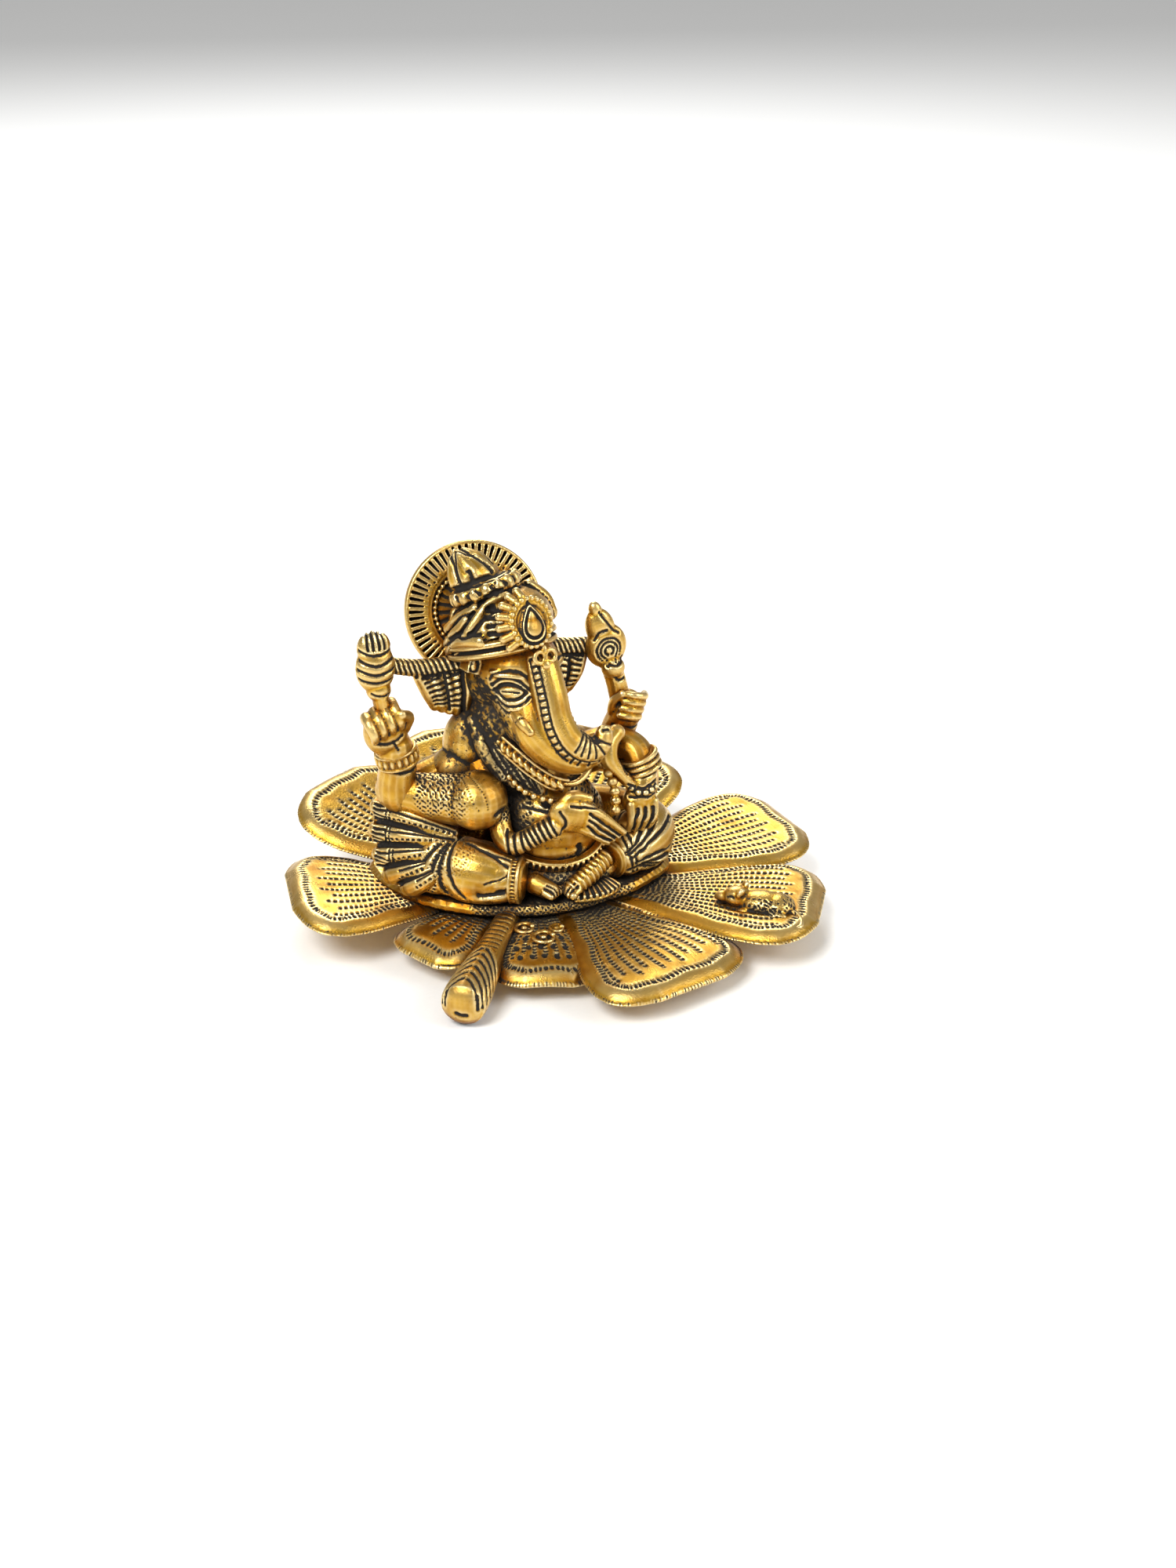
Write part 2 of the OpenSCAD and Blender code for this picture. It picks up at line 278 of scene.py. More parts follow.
def fuse(parts, voxel, smooth=3, factor=0.6):
    """Melts overlapping shapes into one cast skin of a given grain, in millimetres."""
    o = join(parts)
    apply(o, "REMESH", mode="VOXEL", voxel_size=voxel * MM * COARSER)
    if smooth:
        apply(o, "SMOOTH", factor=factor, iterations=smooth)
    return o


class Skin:
    """The points of a cast skin, while it is chased with lines, dots and beads."""

    def __init__(self, o):
        self.o = o
        self.co = points(o) / MM
        no = np.empty(len(self.co) * 3)
        o.data.vertex_normals.foreach_get("vector", no)
        self.no = no.reshape(-1, 3)
        self.dark = np.zeros(len(self.co))
        self.tree = KDTree(len(self.co))
        for i, c in enumerate(self.co.tolist()):
            self.tree.insert(c, i)
        self.tree.balance()

    def path(self, pts, at=FIG, snap=True, step=0.4):
        p = at(spline(np.array(pts, float)[:, :3], step))
        if snap:
            for i in range(len(p)):
                p[i] = self.tree.find(p[i])[0]
            for _ in range(3):
                p[1:-1] = (p[:-2] + p[1:-1] * 2 + p[2:]) / 4
        return p

    def near(self, p, reach):
        inside = np.where(np.all((self.co > p.min(0) - reach) & (self.co < p.max(0) + reach), axis=1))[0]
        if not len(inside):
            return inside, np.zeros(0), np.zeros(0)
        d2 = ((self.co[inside][:, None, :] - p[None]) ** 2).sum(2)
        j = d2.argmin(1)
        run = np.concatenate([[0], np.cumsum(np.linalg.norm(np.diff(p, axis=0), axis=1))])
        d = np.sqrt(d2[np.arange(len(inside)), j])
        keep = d < reach
        return inside[keep], d[keep], run[j][keep]

    def line(self, pts, width=0.45, depth=0.4, dark=1.0, dots=0.0, at=FIG, snap=True):
        """A chased groove, or a row of punched dots that far apart. A depth below 0 raises it."""
        i, d, s = self.near(self.path(pts, at, snap), width * 2.6)
        f = np.exp(-(d / width) ** 2)
        if dots:
            f = f * np.clip(0.5 + 0.9 * np.cos(2 * np.pi * s / dots), 0, 1)
        self.co[i] -= self.no[i] * (depth * f)[:, None]
        if depth < 0:
            f = np.exp(-((d - width * 1.7) / (width * 0.55)) ** 2)
        self.dark[i] = np.maximum(self.dark[i], dark * f)
        return self

    def lines(self, *rows, **more):
        """Several grooves, each a width, a depth and its points."""
        for width, depth, pts in rows:
            self.line(pts, width, depth, **more)

    def beads(self, pts, r=0.8, pitch=1.7, at=FIG, snap=True, lift=0.8):
        """A row of raised beads."""
        p = self.path(pts, at, snap, 0.2)
        run = np.concatenate([[0], np.cumsum(np.linalg.norm(np.diff(p, axis=0), axis=1))])
        n = max(1, int(run[-1] / pitch))
        for s in (np.arange(n) + 0.5) * run[-1] / n:
            c = np.array([np.interp(s, run, p[:, k]) for k in range(3)])
            i, d, _ = self.near(c[None], r * 1.6)
            self.co[i] += self.no[i] * (lift * np.sqrt(np.clip(r * r - d * d, 0, None)))[:, None]
            self.dark[i] = np.maximum(self.dark[i], np.exp(-((d - r * 1.12) / 0.28) ** 2))
        return self

    def stipple(self, c, r, at=FIG, pitch=1.1, depth=0.25, dark=0.8):
        """Matting: punched ground all over a round patch."""
        i = np.where(((self.co - at(c)) ** 2).sum(1) < (r * at.k) ** 2)[0]
        q = self.co[i] * 2 * np.pi / pitch
        f = np.clip(np.sin(q[:, 0] + np.sin(q[:, 1] * 0.7)) * np.sin(q[:, 2] + np.sin(q[:, 0] * 0.6)), 0, 1)
        edge = np.clip((r * at.k - np.sqrt(((self.co[i] - at(c)) ** 2).sum(1))) / 1.5, 0, 1)
        self.co[i] -= self.no[i] * (depth * f * edge)[:, None]
        self.dark[i] = np.maximum(self.dark[i], dark * (0.45 + 0.55 * f) * edge)
        return self

    def shade_and_patina_smudge(self, c, r, dark=1.0, at=FIG):
        """A streaky cloud of black painted shade and patina, with no tool marks in it."""
        d2 = ((self.co - at(c)) ** 2).sum(1) / (r * at.k) ** 2
        q = self.co * 2.9
        streak = 0.66 + 0.34 * np.sin(q[:, 0] + np.sin(q[:, 2] * 0.9)) * np.sin(q[:, 2] * 0.6 + np.sin(q[:, 1]))
        self.dark = np.maximum(self.dark, 1.35 * dark * streak * np.clip(1.3 * (1 - d2), 0, 1))
        return self

    def done(self):
        move_to(self.o, self.co * MM)
        return tone(self.o, self.dark)


def tone(o, dark=None):
    """Stores on each point how far it lies in a hollow, with the dark patina and painted shade laid on it, and
    how far it is rubbed bright, which also paints a pale highlight.
    """
    me = o.data
    co = points(o) / MM
    n = len(co)
    no = np.empty(n * 3)
    me.vertex_normals.foreach_get("vector", no)
    no = no.reshape(-1, 3)
    e = np.empty(len(me.edges) * 2, int)
    me.edges.foreach_get("vertices", e)
    a, b = e[0::2], e[1::2]
    count = np.maximum(np.bincount(a, minlength=n) + np.bincount(b, minlength=n), 1)[:, None]
    span = np.linalg.norm(co[a] - co[b], axis=1).mean()

    def relax(p, times):
        for _ in range(times):
            p = np.stack([np.bincount(a, p[b, k], n) + np.bincount(b, p[a, k], n) for k in range(3)], 1) / count
        return p
    near = relax(co, 2)
    wide = relax(near, max(2, int(3 / span)))
    fine = ((near - co) * no).sum(1)
    broad = ((wide - co) * no).sum(1)
    hollow = np.clip(fine * 7 + broad * 1.5, 0, 1)
    worn_and_highlight = np.clip(-fine * 6 - broad * 1.4, 0, 1)
    if dark is not None:
        hollow = np.clip(hollow + dark * (1 - 0.6 * worn_and_highlight), 0, 1)
    for name, value in (("hollow", hollow), ("worn_and_highlight", worn_and_highlight)):
        if name not in me.attributes:
            me.attributes.new(name, "FLOAT", "POINT")
        me.attributes[name].data.foreach_set("value", value)
    return o


def place(o, name, stands_in=True):
    """Names a finished piece. It stands in for the solid of that name, or it is an extra one."""
    o.name = o.data.name = name
    only(o)
    bpy.ops.object.shade_smooth()
    o.data.materials.clear()
    o.data.materials.append(bpy.data.materials[METALS["antique_gold"]])
    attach(o, "root")
    if stands_in:
        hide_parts(name)
    return o


# ---------------------------------------------------------------- metals

METALS = {"antique_gold": "patinated_gold_plate_with_painted_light", "fixing_steel": "zinc_plated_steel"}


def put(tree, kind, settings=None, sockets=None):
    """Adds a node with its settings, and sets or links its sockets."""
    n = tree.nodes.new("ShaderNode" + kind)
    for key, value in (settings or {}).items():
        setattr(n, key, value)
    for key, value in (sockets or {}).items():
        if isinstance(value, bpy.types.NodeSocket):
            tree.links.new(value, n.inputs[key])
        else:
            n.inputs[key].default_value = value
    return n


def new_metal(name):
    m = bpy.data.materials.new(name)
    m.use_nodes = True
    m.node_tree.nodes.clear()
    return m, m.node_tree


def antique_gold(p):
    """Gold-plated cast brass, dipped in black patina and rubbed back: black in every hollow, orange where the
    wash stays, pale and polished where a cloth reaches.
    Painted light as well: the black painted shade laid on each skin, ambient occlusion painting shade, orange
    then black, into corners, undersides and gaps between parts, and the pale rubbed colour painting a highlight
    on raised places."""
    m, t = new_metal(METALS["antique_gold"])
    where = put(t, "TexCoord").outputs["Object"]
    hollow = put(t, "Attribute", {"attribute_name": "hollow"}).outputs["Fac"]
    worn_and_highlight = put(t, "Attribute", {"attribute_name": "worn_and_highlight"}).outputs["Fac"]
    # painted shade: ambient occlusion within 4.5 mm marks corners, undersides and gaps between parts, which are
    # painted orange and black below
    near = put(t, "AmbientOcclusion", {"samples": 6}, {"Distance": 4.5 * MM}).outputs["AO"]
    shade = put(t, "Math", {"operation": "SUBTRACT", "use_clamp": True}, {0: 1.0, 1: near}).outputs[0]
    # casting grain 0.5 mm across breaks up the edge of the patina
    grain = put(t, "TexNoise", None, {"Vector": where, "Scale": 1 / (0.5 * MM), "Detail": 4.0,
            "Roughness": 0.6}).outputs["Fac"]
    # cloudy wash, patches 6 mm across
    cloud = put(t, "TexNoise", None, {"Vector": where, "Scale": 1 / (6 * MM), "Detail": 3.0}).outputs["Fac"]
    # pits and rubbed-in dirt, specks 0.9 mm apart
    speck = put(t, "TexNoise", None, {"Vector": where, "Scale": 1 / (0.9 * MM), "Detail": 2.0}).outputs["Fac"]
    speck = put(t, "MapRange", None, {"Value": speck, "From Min": 0.58, "From Max": 0.7,
            "To Max": 0.4}).outputs[0]
    # the black mask: patina in the hollows, black painted shade from the occlusion, and specks of dirt
    a = put(t, "Math", {"operation": "MULTIPLY_ADD"}, {0: shade, 1: 0.75, 2: hollow}).outputs[0]
    a = put(t, "Math", None, {0: a, 1: speck}).outputs[0]
    b = put(t, "Math", {"operation": "MULTIPLY_ADD"}, {0: grain, 1: 0.55, 2: a}).outputs[0]
    patina_and_shade = put(t, "MapRange", {"interpolation_type": "SMOOTHSTEP"}, {"Value": b, "From Min": 0.6,
            "From Max": 1.0}).outputs[0]
    # the orange mask: a random wash from the cloud plus orange painted shade from the occlusion, less on raised
    # places
    w = put(t, "Math", {"operation": "MULTIPLY_ADD"}, {0: shade, 1: 1.1, 2: cloud}).outputs[0]
    w = put(t, "Math", {"operation": "MULTIPLY_ADD"}, {0: worn_and_highlight, 1: -0.5, 2: w}).outputs[0]
    wash_and_shade = put(t, "MapRange", {"interpolation_type": "SMOOTHSTEP"}, {"Value": w, "From Min": 0.35,
            "From Max": 0.95}).outputs[0]
    # raised places rubbed bright, in a colour pale enough to paint a highlight there as well
    bright = put(t, "Mix", {"data_type": "RGBA"}, {0: worn_and_highlight, 6: tuple(p.gold), 7: tuple(p.rubbed_and_highlight)}).outputs[2]
    gold = put(t, "Mix", {"data_type": "RGBA"}, {0: wash_and_shade, 6: bright, 7: tuple(p.washed_and_shaded)}).outputs[2]
    colour = put(t, "Mix", {"data_type": "RGBA"}, {0: patina_and_shade, 6: gold, 7: tuple(p.patina_and_shade)}).outputs[2]
    rough = put(t, "MapRange", None, {"Value": cloud, "From Min": 0.3, "From Max": 0.7,
            "To Min": p.polish - 0.05, "To Max": p.polish + 0.13}).outputs[0]
    rough = put(t, "Mix", None, {0: patina_and_shade, 2: rough, 3: 0.75}).outputs[0]
    metal = put(t, "Math", {"operation": "MULTIPLY_ADD"}, {0: patina_and_shade, 1: -0.85, 2: 1.0}).outputs[0]
    # rubbing scratches, long one way
    turned = put(t, "Mapping", None, {"Vector": where, "Rotation": (0.6, 0.9, 0.4),
            "Scale": (1.0, 0.08, 1.0)}).outputs[0]
    scratch = put(t, "TexNoise", None, {"Vector": turned, "Scale": 1 / (0.35 * MM),
            "Detail": 2.0}).outputs["Fac"]
    skin = put(t, "Math", {"operation": "MULTIPLY_ADD"}, {0: scratch, 1: 0.6, 2: grain}).outputs[0]
    bump = put(t, "Bump", None, {"Strength": 0.6, "Distance": 0.13 * MM, "Height": skin}).outputs[0]
    face = put(t, "BsdfPrincipled", None, {"Base Color": colour, "Metallic": metal, "Roughness": rough,
            "Normal": bump})
    put(t, "OutputMaterial", None, {"Surface": face.outputs[0]})
    return m


def fixing_steel(p):
    """Zinc-plated steel screw and washer: cool grey, satin, with fine turning marks."""
    m, t = new_metal(METALS["fixing_steel"])
    where = put(t, "TexCoord").outputs["Object"]
    marks = put(t, "TexNoise", None, {"Vector": where, "Scale": 1 / (0.4 * MM), "Detail": 3.0}).outputs["Fac"]
    rough = put(t, "MapRange", None, {"Value": marks, "To Min": 0.3, "To Max": 0.5}).outputs[0]
    bump = put(t, "Bump", None, {"Strength": 0.3, "Distance": 0.03 * MM, "Height": marks}).outputs[0]
    tint = put(t, "Mix", {"data_type": "RGBA"}, {0: marks, 6: linear("#9DA0A4"),
            7: linear("#C4C6C8")}).outputs[2]
    face = put(t, "BsdfPrincipled", None, {"Base Color": tint, "Metallic": 1.0, "Roughness": rough,
            "Normal": bump})
    put(t, "OutputMaterial", None, {"Surface": face.outputs[0]})
    return m


# ---------------------------------------------------------------- flower

ROOT = 0.24             # where a petal begins, as a share of its reach
SINK = 0.6              # depth of its upper face below the hub's, in millimetres
ALONG = [ROOT, 0.36, 0.48, 0.60, 0.72, 0.82, 0.90, 0.955, 0.985, 1.0]
HALF = [0.30, 0.43, 0.58, 0.76, 0.95, 1.03, 1.0, 0.86, 0.68, 0.48]


def petal_facts(node):
    """Direction, reach, half-width and tip height of a petal, read from its solid."""
    v = mesh_mm(node)
    u = v[:, :2].mean(0)
    u = unit(u)
    along, across = v[:, :2] @ u, v[:, :2] @ np.array([-u[1], u[0]])
    reach = along.max()
    tip = v[along > reach - 0.5, 2].max()
    return math.atan2(u[1], u[0]), reach, np.abs(across).max(), tip


def petal(node, rows, border, seed, p, bold=0):
    """One petal: a thick rounded sheet with a punched border and rays of punched dots."""
    turn, reach, half, tip = petal_facts(node)
    lift = tip + 1.4 - (HUB_TOP - SINK)
    rng = np.random.default_rng(seed)
    s_axis = np.linspace(ROOT, 1.0, 60)
    width = np.interp(s_axis, ALONG, HALF)
    for _ in range(3):
        width[1:-1] = (width[:-2] + 2 * width[1:-1] + width[2:]) / 4
    xs, ws = s_axis * reach, width * half
    rim = np.vstack([np.stack([xs, ws], 1), np.stack([xs[::-1], -ws[::-1]], 1)])
    rim = np.vstack([rim, rim[:1]])
    run = np.concatenate([[0], np.cumsum(np.linalg.norm(np.diff(rim, axis=0), axis=1))])
    n_rim = 900
    even = np.linspace(0, run[-1], n_rim, endpoint=False)
    rim = np.stack([np.interp(even, run, rim[:, k]) for k in (0, 1)], 1)
    for _ in range(6):
        rim = (np.roll(rim, 1, 0) + 2 * rim + np.roll(rim, -1, 0)) / 4
    perimeter = run[-1]
    cx = reach * 0.66
    cell = p.petal_grain * COARSER
    seg = int(perimeter * 1.08 / cell)
    n_top, n_wall, n_low = int(reach * 0.36 / cell), 9, 9
    rings = n_top + n_wall + n_low
    bpy.ops.object.select_all(action="DESELECT")
    bpy.ops.mesh.primitive_uv_sphere_add(segments=seg, ring_count=rings, radius=1)
    o = bpy.context.object
    co = points(o)
    theta = np.arctan2(co[:, 1], co[:, 0])
    ring = np.rint(np.arccos(np.clip(co[:, 2], -1, 1)) / np.pi * rings)
    angle = np.arctan2(rim[:, 1], rim[:, 0] - cx)
    order = np.argsort(angle)
    far = np.interp(theta, angle[order], np.hypot(rim[:, 0] - cx, rim[:, 1])[order], period=2 * np.pi)
    rho = np.where(ring <= n_top, ring / n_top, np.where(ring <= n_top + n_wall, 1.0, (rings - ring) / n_low))
    x, y = cx + rho * far * np.cos(theta), rho * far * np.sin(theta)
    # distance to the rim and the place along it
    edge, at_rim = np.full(len(x), 50.0), np.zeros(len(x))
    for lo in range(0, len(x), 8000):
        d2 = (x[lo:lo + 8000, None] - rim[None, :, 0]) ** 2 + (y[lo:lo + 8000, None] - rim[None, :, 1]) ** 2
        j = d2.argmin(1)
        edge[lo:lo + 8000] = np.sqrt(d2[np.arange(len(j)), j])
        at_rim[lo:lo + 8000] = even[j]
    share = x / reach
    grow = np.clip((share - ROOT) / (1 - ROOT), 0, 1)
    spread = np.clip(np.abs(y) / half, 0, 1)
    base = HUB_TOP - SINK + lift * grow ** 1.6
    wave = 0.5 * np.sin(y / half * 2.6 + seed) * grow
    crown = 0.9 * (1 - spread ** 2) * grow
    roll = -2.1 * np.clip(1 - edge / 4.6, 0, 1) ** 2.2 * np.clip(grow * 3, 0, 1)
    z_top = base + wave + crown + roll
    low = base + wave - 3.0
    down = np.clip((ring - n_top) / n_wall, 0, 1)
    z = z_top * (1 - down) + low * down
    bulge = 0.75 * np.sin(np.pi * down) * (ring >= n_top) * (ring <= n_top + n_wall)
    x, y = x + bulge * np.cos(theta), y + bulge * np.sin(theta)
    top = ring <= n_top
    cut, dark = np.zeros(len(x)), np.zeros(len(x))
    live = np.clip((share - 0.33) * 14, 0, 1) * top
    # border: a furrow of short punch strokes
    beat = np.clip(0.55 + 0.75 * np.sin(2 * np.pi * at_rim / 1.45 + 0.8 * np.sin(at_rim * 0.9 + seed)), 0, 1)
    wander = border + 0.3 * np.sin(at_rim * 0.5 + seed)
    f = np.exp(-((edge - wander) / 0.7) ** 2) * live
    cut += f * (0.14 + 0.5 * beat)
    dark = np.maximum(dark, np.clip(f * 1.3, 0, 1) * (0.35 + 0.65 * beat))
    # rays of dots that open from the centre
    ray_half = np.maximum(np.interp(share, ALONG, HALF) * half - border - 1.6, 2.5)
    q = y / ray_half
    k = np.rint((q + 1) / 2 * (rows - 1))
    inside = (k >= 0) & (k <= rows - 1)
    gap = np.abs(q - (2 * k / (rows - 1) - 1)) * ray_half
    pitch = 1.5 + 0.12 * np.sin(k * 1.7 + seed)
    beat = np.sin(2 * np.pi * x / pitch + k * 2.4 + 0.5 * np.sin(x * 0.7 + k))
    duty = np.clip(0.75 - 0.5 * grow, 0.2, 0.8)
    stroke = np.clip((beat + duty) / 0.5, 0, 1)
    last = reach - border - 3.0 - 2.2 * (k % 2) - 1.2 * np.abs(k - (rows - 1) / 2) / rows * 4
    ends = np.clip((last - x) / 0.8, 0, 1) * inside
    f = np.exp(-(gap / 0.55) ** 2) * ends * live * np.clip((edge - border - 0.9) * 2, 0, 1)
    cut += f * (0.1 + 0.5 * stroke)
    dark = np.maximum(dark, np.clip(f * 1.35, 0, 1) * (0.2 + 0.8 * stroke))
    for i in range(bold):    # bold oval marks in three staggered rows
        c = (reach * (0.66 + 0.085 * (i % 3)), (i // 3 - 2.5) * half * 0.24 + 0.6 * (i % 3))
        f = np.exp(-((x - c[0]) / 1.0) ** 2 - ((y - c[1]) / 0.7) ** 2) * top
        cut += 0.8 * f
        dark = np.maximum(dark, np.clip(1.5 * f, 0, 1))
    # dimples and dings from the mould
    for _ in range(14):
        c = np.array([rng.uniform(0.5, 0.95) * reach, rng.uniform(-0.8, 0.8) * half])
        cut += 0.14 * np.exp(-((x - c[0]) ** 2 + (y - c[1]) ** 2) / rng.uniform(1, 5)) * top
    # rim: upright file strokes
    wall = (down > 0.02) & (down < 0.98)
    strokes = np.sin(2 * np.pi * at_rim / 0.95 + 1.6 * np.sin(at_rim * 0.6 + seed))
    x -= 0.11 * strokes * wall * np.cos(theta)
    y -= 0.11 * strokes * wall * np.sin(theta)
    dark = np.maximum(dark, np.clip(strokes, 0, 1) * 0.5 * wall)
    z = z - cut
    c, s = math.cos(turn), math.sin(turn)
    move_to(o, np.stack([x * c - y * s, x * s + y * c, z], 1) * MM)
    tone(o, dark)
    return place(o, node)


def stem():
    v = mesh_mm("stem")
    d = np.hypot(v[:, 0], v[:, 1])
    end, start = v[d > d.max() - 5].mean(0), v[d < d.min() + 3].mean(0)
    thick = (v[d > d.max() - 3, 2].max() - v[d > d.max() - 3, 2].min()) / 2
    axis = end - start
    length = np.linalg.norm(axis)
    yaw, pitch = math.degrees(math.atan2(axis[1], axis[0])), -math.degrees(math.asin(axis[2] / length))
    at = Spot(start, (0, pitch, yaw))
    at.r = np.array(Euler((0, math.radians(pitch), math.radians(yaw))).to_matrix())
    parts = tube([(-9, 0, 1.6, 2.2), (2, 0, 1.2, 3.4), (length * 0.35, 0, 0.5, 4.1), (length * 0.62, 0, 0.2,
            5.3), (length * 0.85, 0, 0, thick), (length - 1.6, 0, 0, thick * 0.97)], at, ends=False, sides=8)
    parts.append(blob((length - 2.2, 0, 0), (2.7, thick * 0.93, thick * 0.93), at))
    s = Skin(fuse(parts, 0.34))
    for i in range(6):
        x = length * 0.5 + i * 3.3
        for side in (-1, 1):
            s.line([(x, side * 0.7, 6), (x + 2.6, side * 3.4, 5), (x + 6.2, side * 6, 2.6),
                    (x + 8, side * 6.6, 0)], width=0.5, depth=0.62, at=at)
    for i in range(9):
        x = length * 0.06 + i * 2.1
        s.line([(x, -2.4, 3.5), (x + 0.8, 0, 5), (x + 0.2, 2.4, 3.5)], width=0.3, depth=0.25, dark=0.75, at=at)
    for side in (-1, 1):
        s.line([(2, side * 3.6, 1.5), (length * 0.45, side * 4.8, 1)], width=0.4, depth=0.3, dark=0.8, at=at)
    s.line([(length + 0.4, -1.2, -1.8), (length + 0.4, 0.2, -2.4), (length + 0.4, 1.5, -2)], width=0.8,
            depth=0.8, dark=0.8, at=at)
    place(s.done(), "stem")


def leaf_curls(leaf):
    """Two small rolled tendrils where the right leaf leaves the seat."""
    v = points(leaf) / MM
    rings = []
    for x, y, r in ((-12.6, -26.5, 2.3), (-9.4, -32.6, 2.7), (-4.5, -29.5, 1.6)):
        d = np.hypot(v[:, 0] - x, v[:, 1] - y)
        z = v[d < d.min() + 1.2, 2].max() + 0.2
        a = circle(20, turns=1.1)
        rings += tube(np.stack([x + r * np.cos(a), y + r * np.sin(a), z - 0.06 * a, 0.8 - 0.04 * a], 1), ROW)
        rings.append(blob((x, y, z - 0.2), (0.9, 0.9, 0.8), ROW))
    place(tone(fuse(rings, 0.24, 2)), "leaf_curls", stands_in=False)


def mouse():
    c = mesh_mm("mouse")[:, :2].mean(0)
    yaw = math.degrees(math.atan2(c[1], c[0]))
    at = Spot((c[0], c[1], box_mm("mouse")[0][2] + 0.2), (0, 0, yaw))
    parts = [blob((1.5, 0, 1.6), (7.2, 4.6, 3.5), at), blob((5.5, 0, 1.4), (5, 5, 3.4), at),
            blob((3, -1, -0.4), (10, 7, 1.5), at), blob((-5.6, 0, 2.6), (4, 3.3, 3), at),
            blob((-9, 0, 2.1), (3, 1.9, 1.8), at), blob((-11.3, 0, 1.9), (1.0, 0.9, 0.9), at)]
    for side in (-1, 1):
        parts += [blob((-4.2, side * 2.6, 5), (0.9, 1.5, 1.6), at, (0, 20, side * 25)),
                blob((6, side * 4.6, 0.6), (3.4, 1.7, 1.6), at), blob((-2.6, side * 3.8, 0.2), (2.4, 1.1, 1.1),
                at)]
    parts += tube([(9, -1, 1.5, 1.1), (12.5, -3.5, 0.6, 0.9), (13.5, -7.5, 0.2, 0.7), (10.5, -9.5, 0.2, 0.5)],
            at)
    s = Skin(fuse(parts, 0.3))
    for side in (-1, 1):
        s.line([(-7.6, side * 2.2, 3.4), (-6.9, side * 2.6, 3.9), (-6.2, side * 2.7, 3.5)], width=0.5,
                depth=0.3, at=at)
        s.line([(-3, side * 4, 2.4), (2, side * 5, 2.6), (8, side * 4.6, 2.2)], width=0.5, depth=0.25, dots=1.5,
                at=at)
        s.line([(-4, side * 3, 4.4), (1, side * 3.4, 5), (7, side * 3.6, 4.8)], width=0.45, depth=0.25,
                dots=1.7, at=at)
        s.lines((0.4, 0.3, [(3, side * 5, 1.8), (5, side * 5.4, 0.2)]),
                (0.3, 0.25, [(-11.4, side * 0.7, 1.4), (-9, side * 1.8, 1.3), (-7, side * 2.6, 1.2)]), at=at)
    s.stipple((3, -6, 0), 6, at=at, pitch=1.6, depth=0.3, dark=1.0)
    s.stipple((9, 0, 1), 5, at=at, pitch=1.5, depth=0.25, dark=0.8)
    place(s.done(), "mouse")


# ---------------------------------------------------------------- figure

def seat():
    """The thin plate that the figure was cast on, with a beaten edge and a matted top."""
    v = mesh_mm("seat_plate")
    plate = v[np.abs(v[:, 2] - HUB_TOP) < 0.2]
    plate = plate[np.hypot(plate[:, 0], plate[:, 1]) > 15]
    ang = np.arctan2(plate[:, 1], plate[:, 0])
    order = np.argsort(ang)
    ang, rad = ang[order], np.hypot(plate[:, 0], plate[:, 1])[order]
    grid = np.linspace(-np.pi, np.pi, 720, endpoint=False)
    r = np.interp(grid, ang, rad, period=2 * np.pi)
    for _ in range(60):
        r = (np.roll(r, 1) + 2 * r + np.roll(r, -1)) / 4
    t = SEAT_TOP - HUB_TOP
    prof = np.array([(0, t), (0.5, t), (0.9, t), (0.97, t - 0.1), (1.0, t * 0.6), (1.0, t * 0.25), (0.97, 0.05),
            (0.9, 0), (0.5, 0), (0, 0)])
    prof = np.array([(np.interp(u, np.linspace(0, 1, len(prof)), prof[:, 0]),
            np.interp(u, np.linspace(0, 1, len(prof)), prof[:, 1])) for u in np.linspace(0, 1, 90)])

    def f(u, w):
        a = w * 2 * np.pi - np.pi
        k, z = np.interp(u, np.linspace(0, 1, 90), prof[:, 0]), np.interp(u, np.linspace(0, 1, 90), prof[:, 1])
        rr = np.interp(a, grid, r, period=2 * np.pi) * k
        return np.stack([rr * np.cos(a), rr * np.sin(a), HUB_TOP + z], 1)
    o = surface(f, 120, 560, ROW)
    s = Skin(o)
    s.stipple((0, -8, 0), 26, pitch=1.5, depth=0.3, dark=0.9)
    n = s.co[:, 0] * 1.9 + s.co[:, 1] * 1.3
    s.co[:, 2] += 0.12 * np.sin(n) * np.sin(s.co[:, 1] * 2.1)
    place(s.done(), "seat_plate")


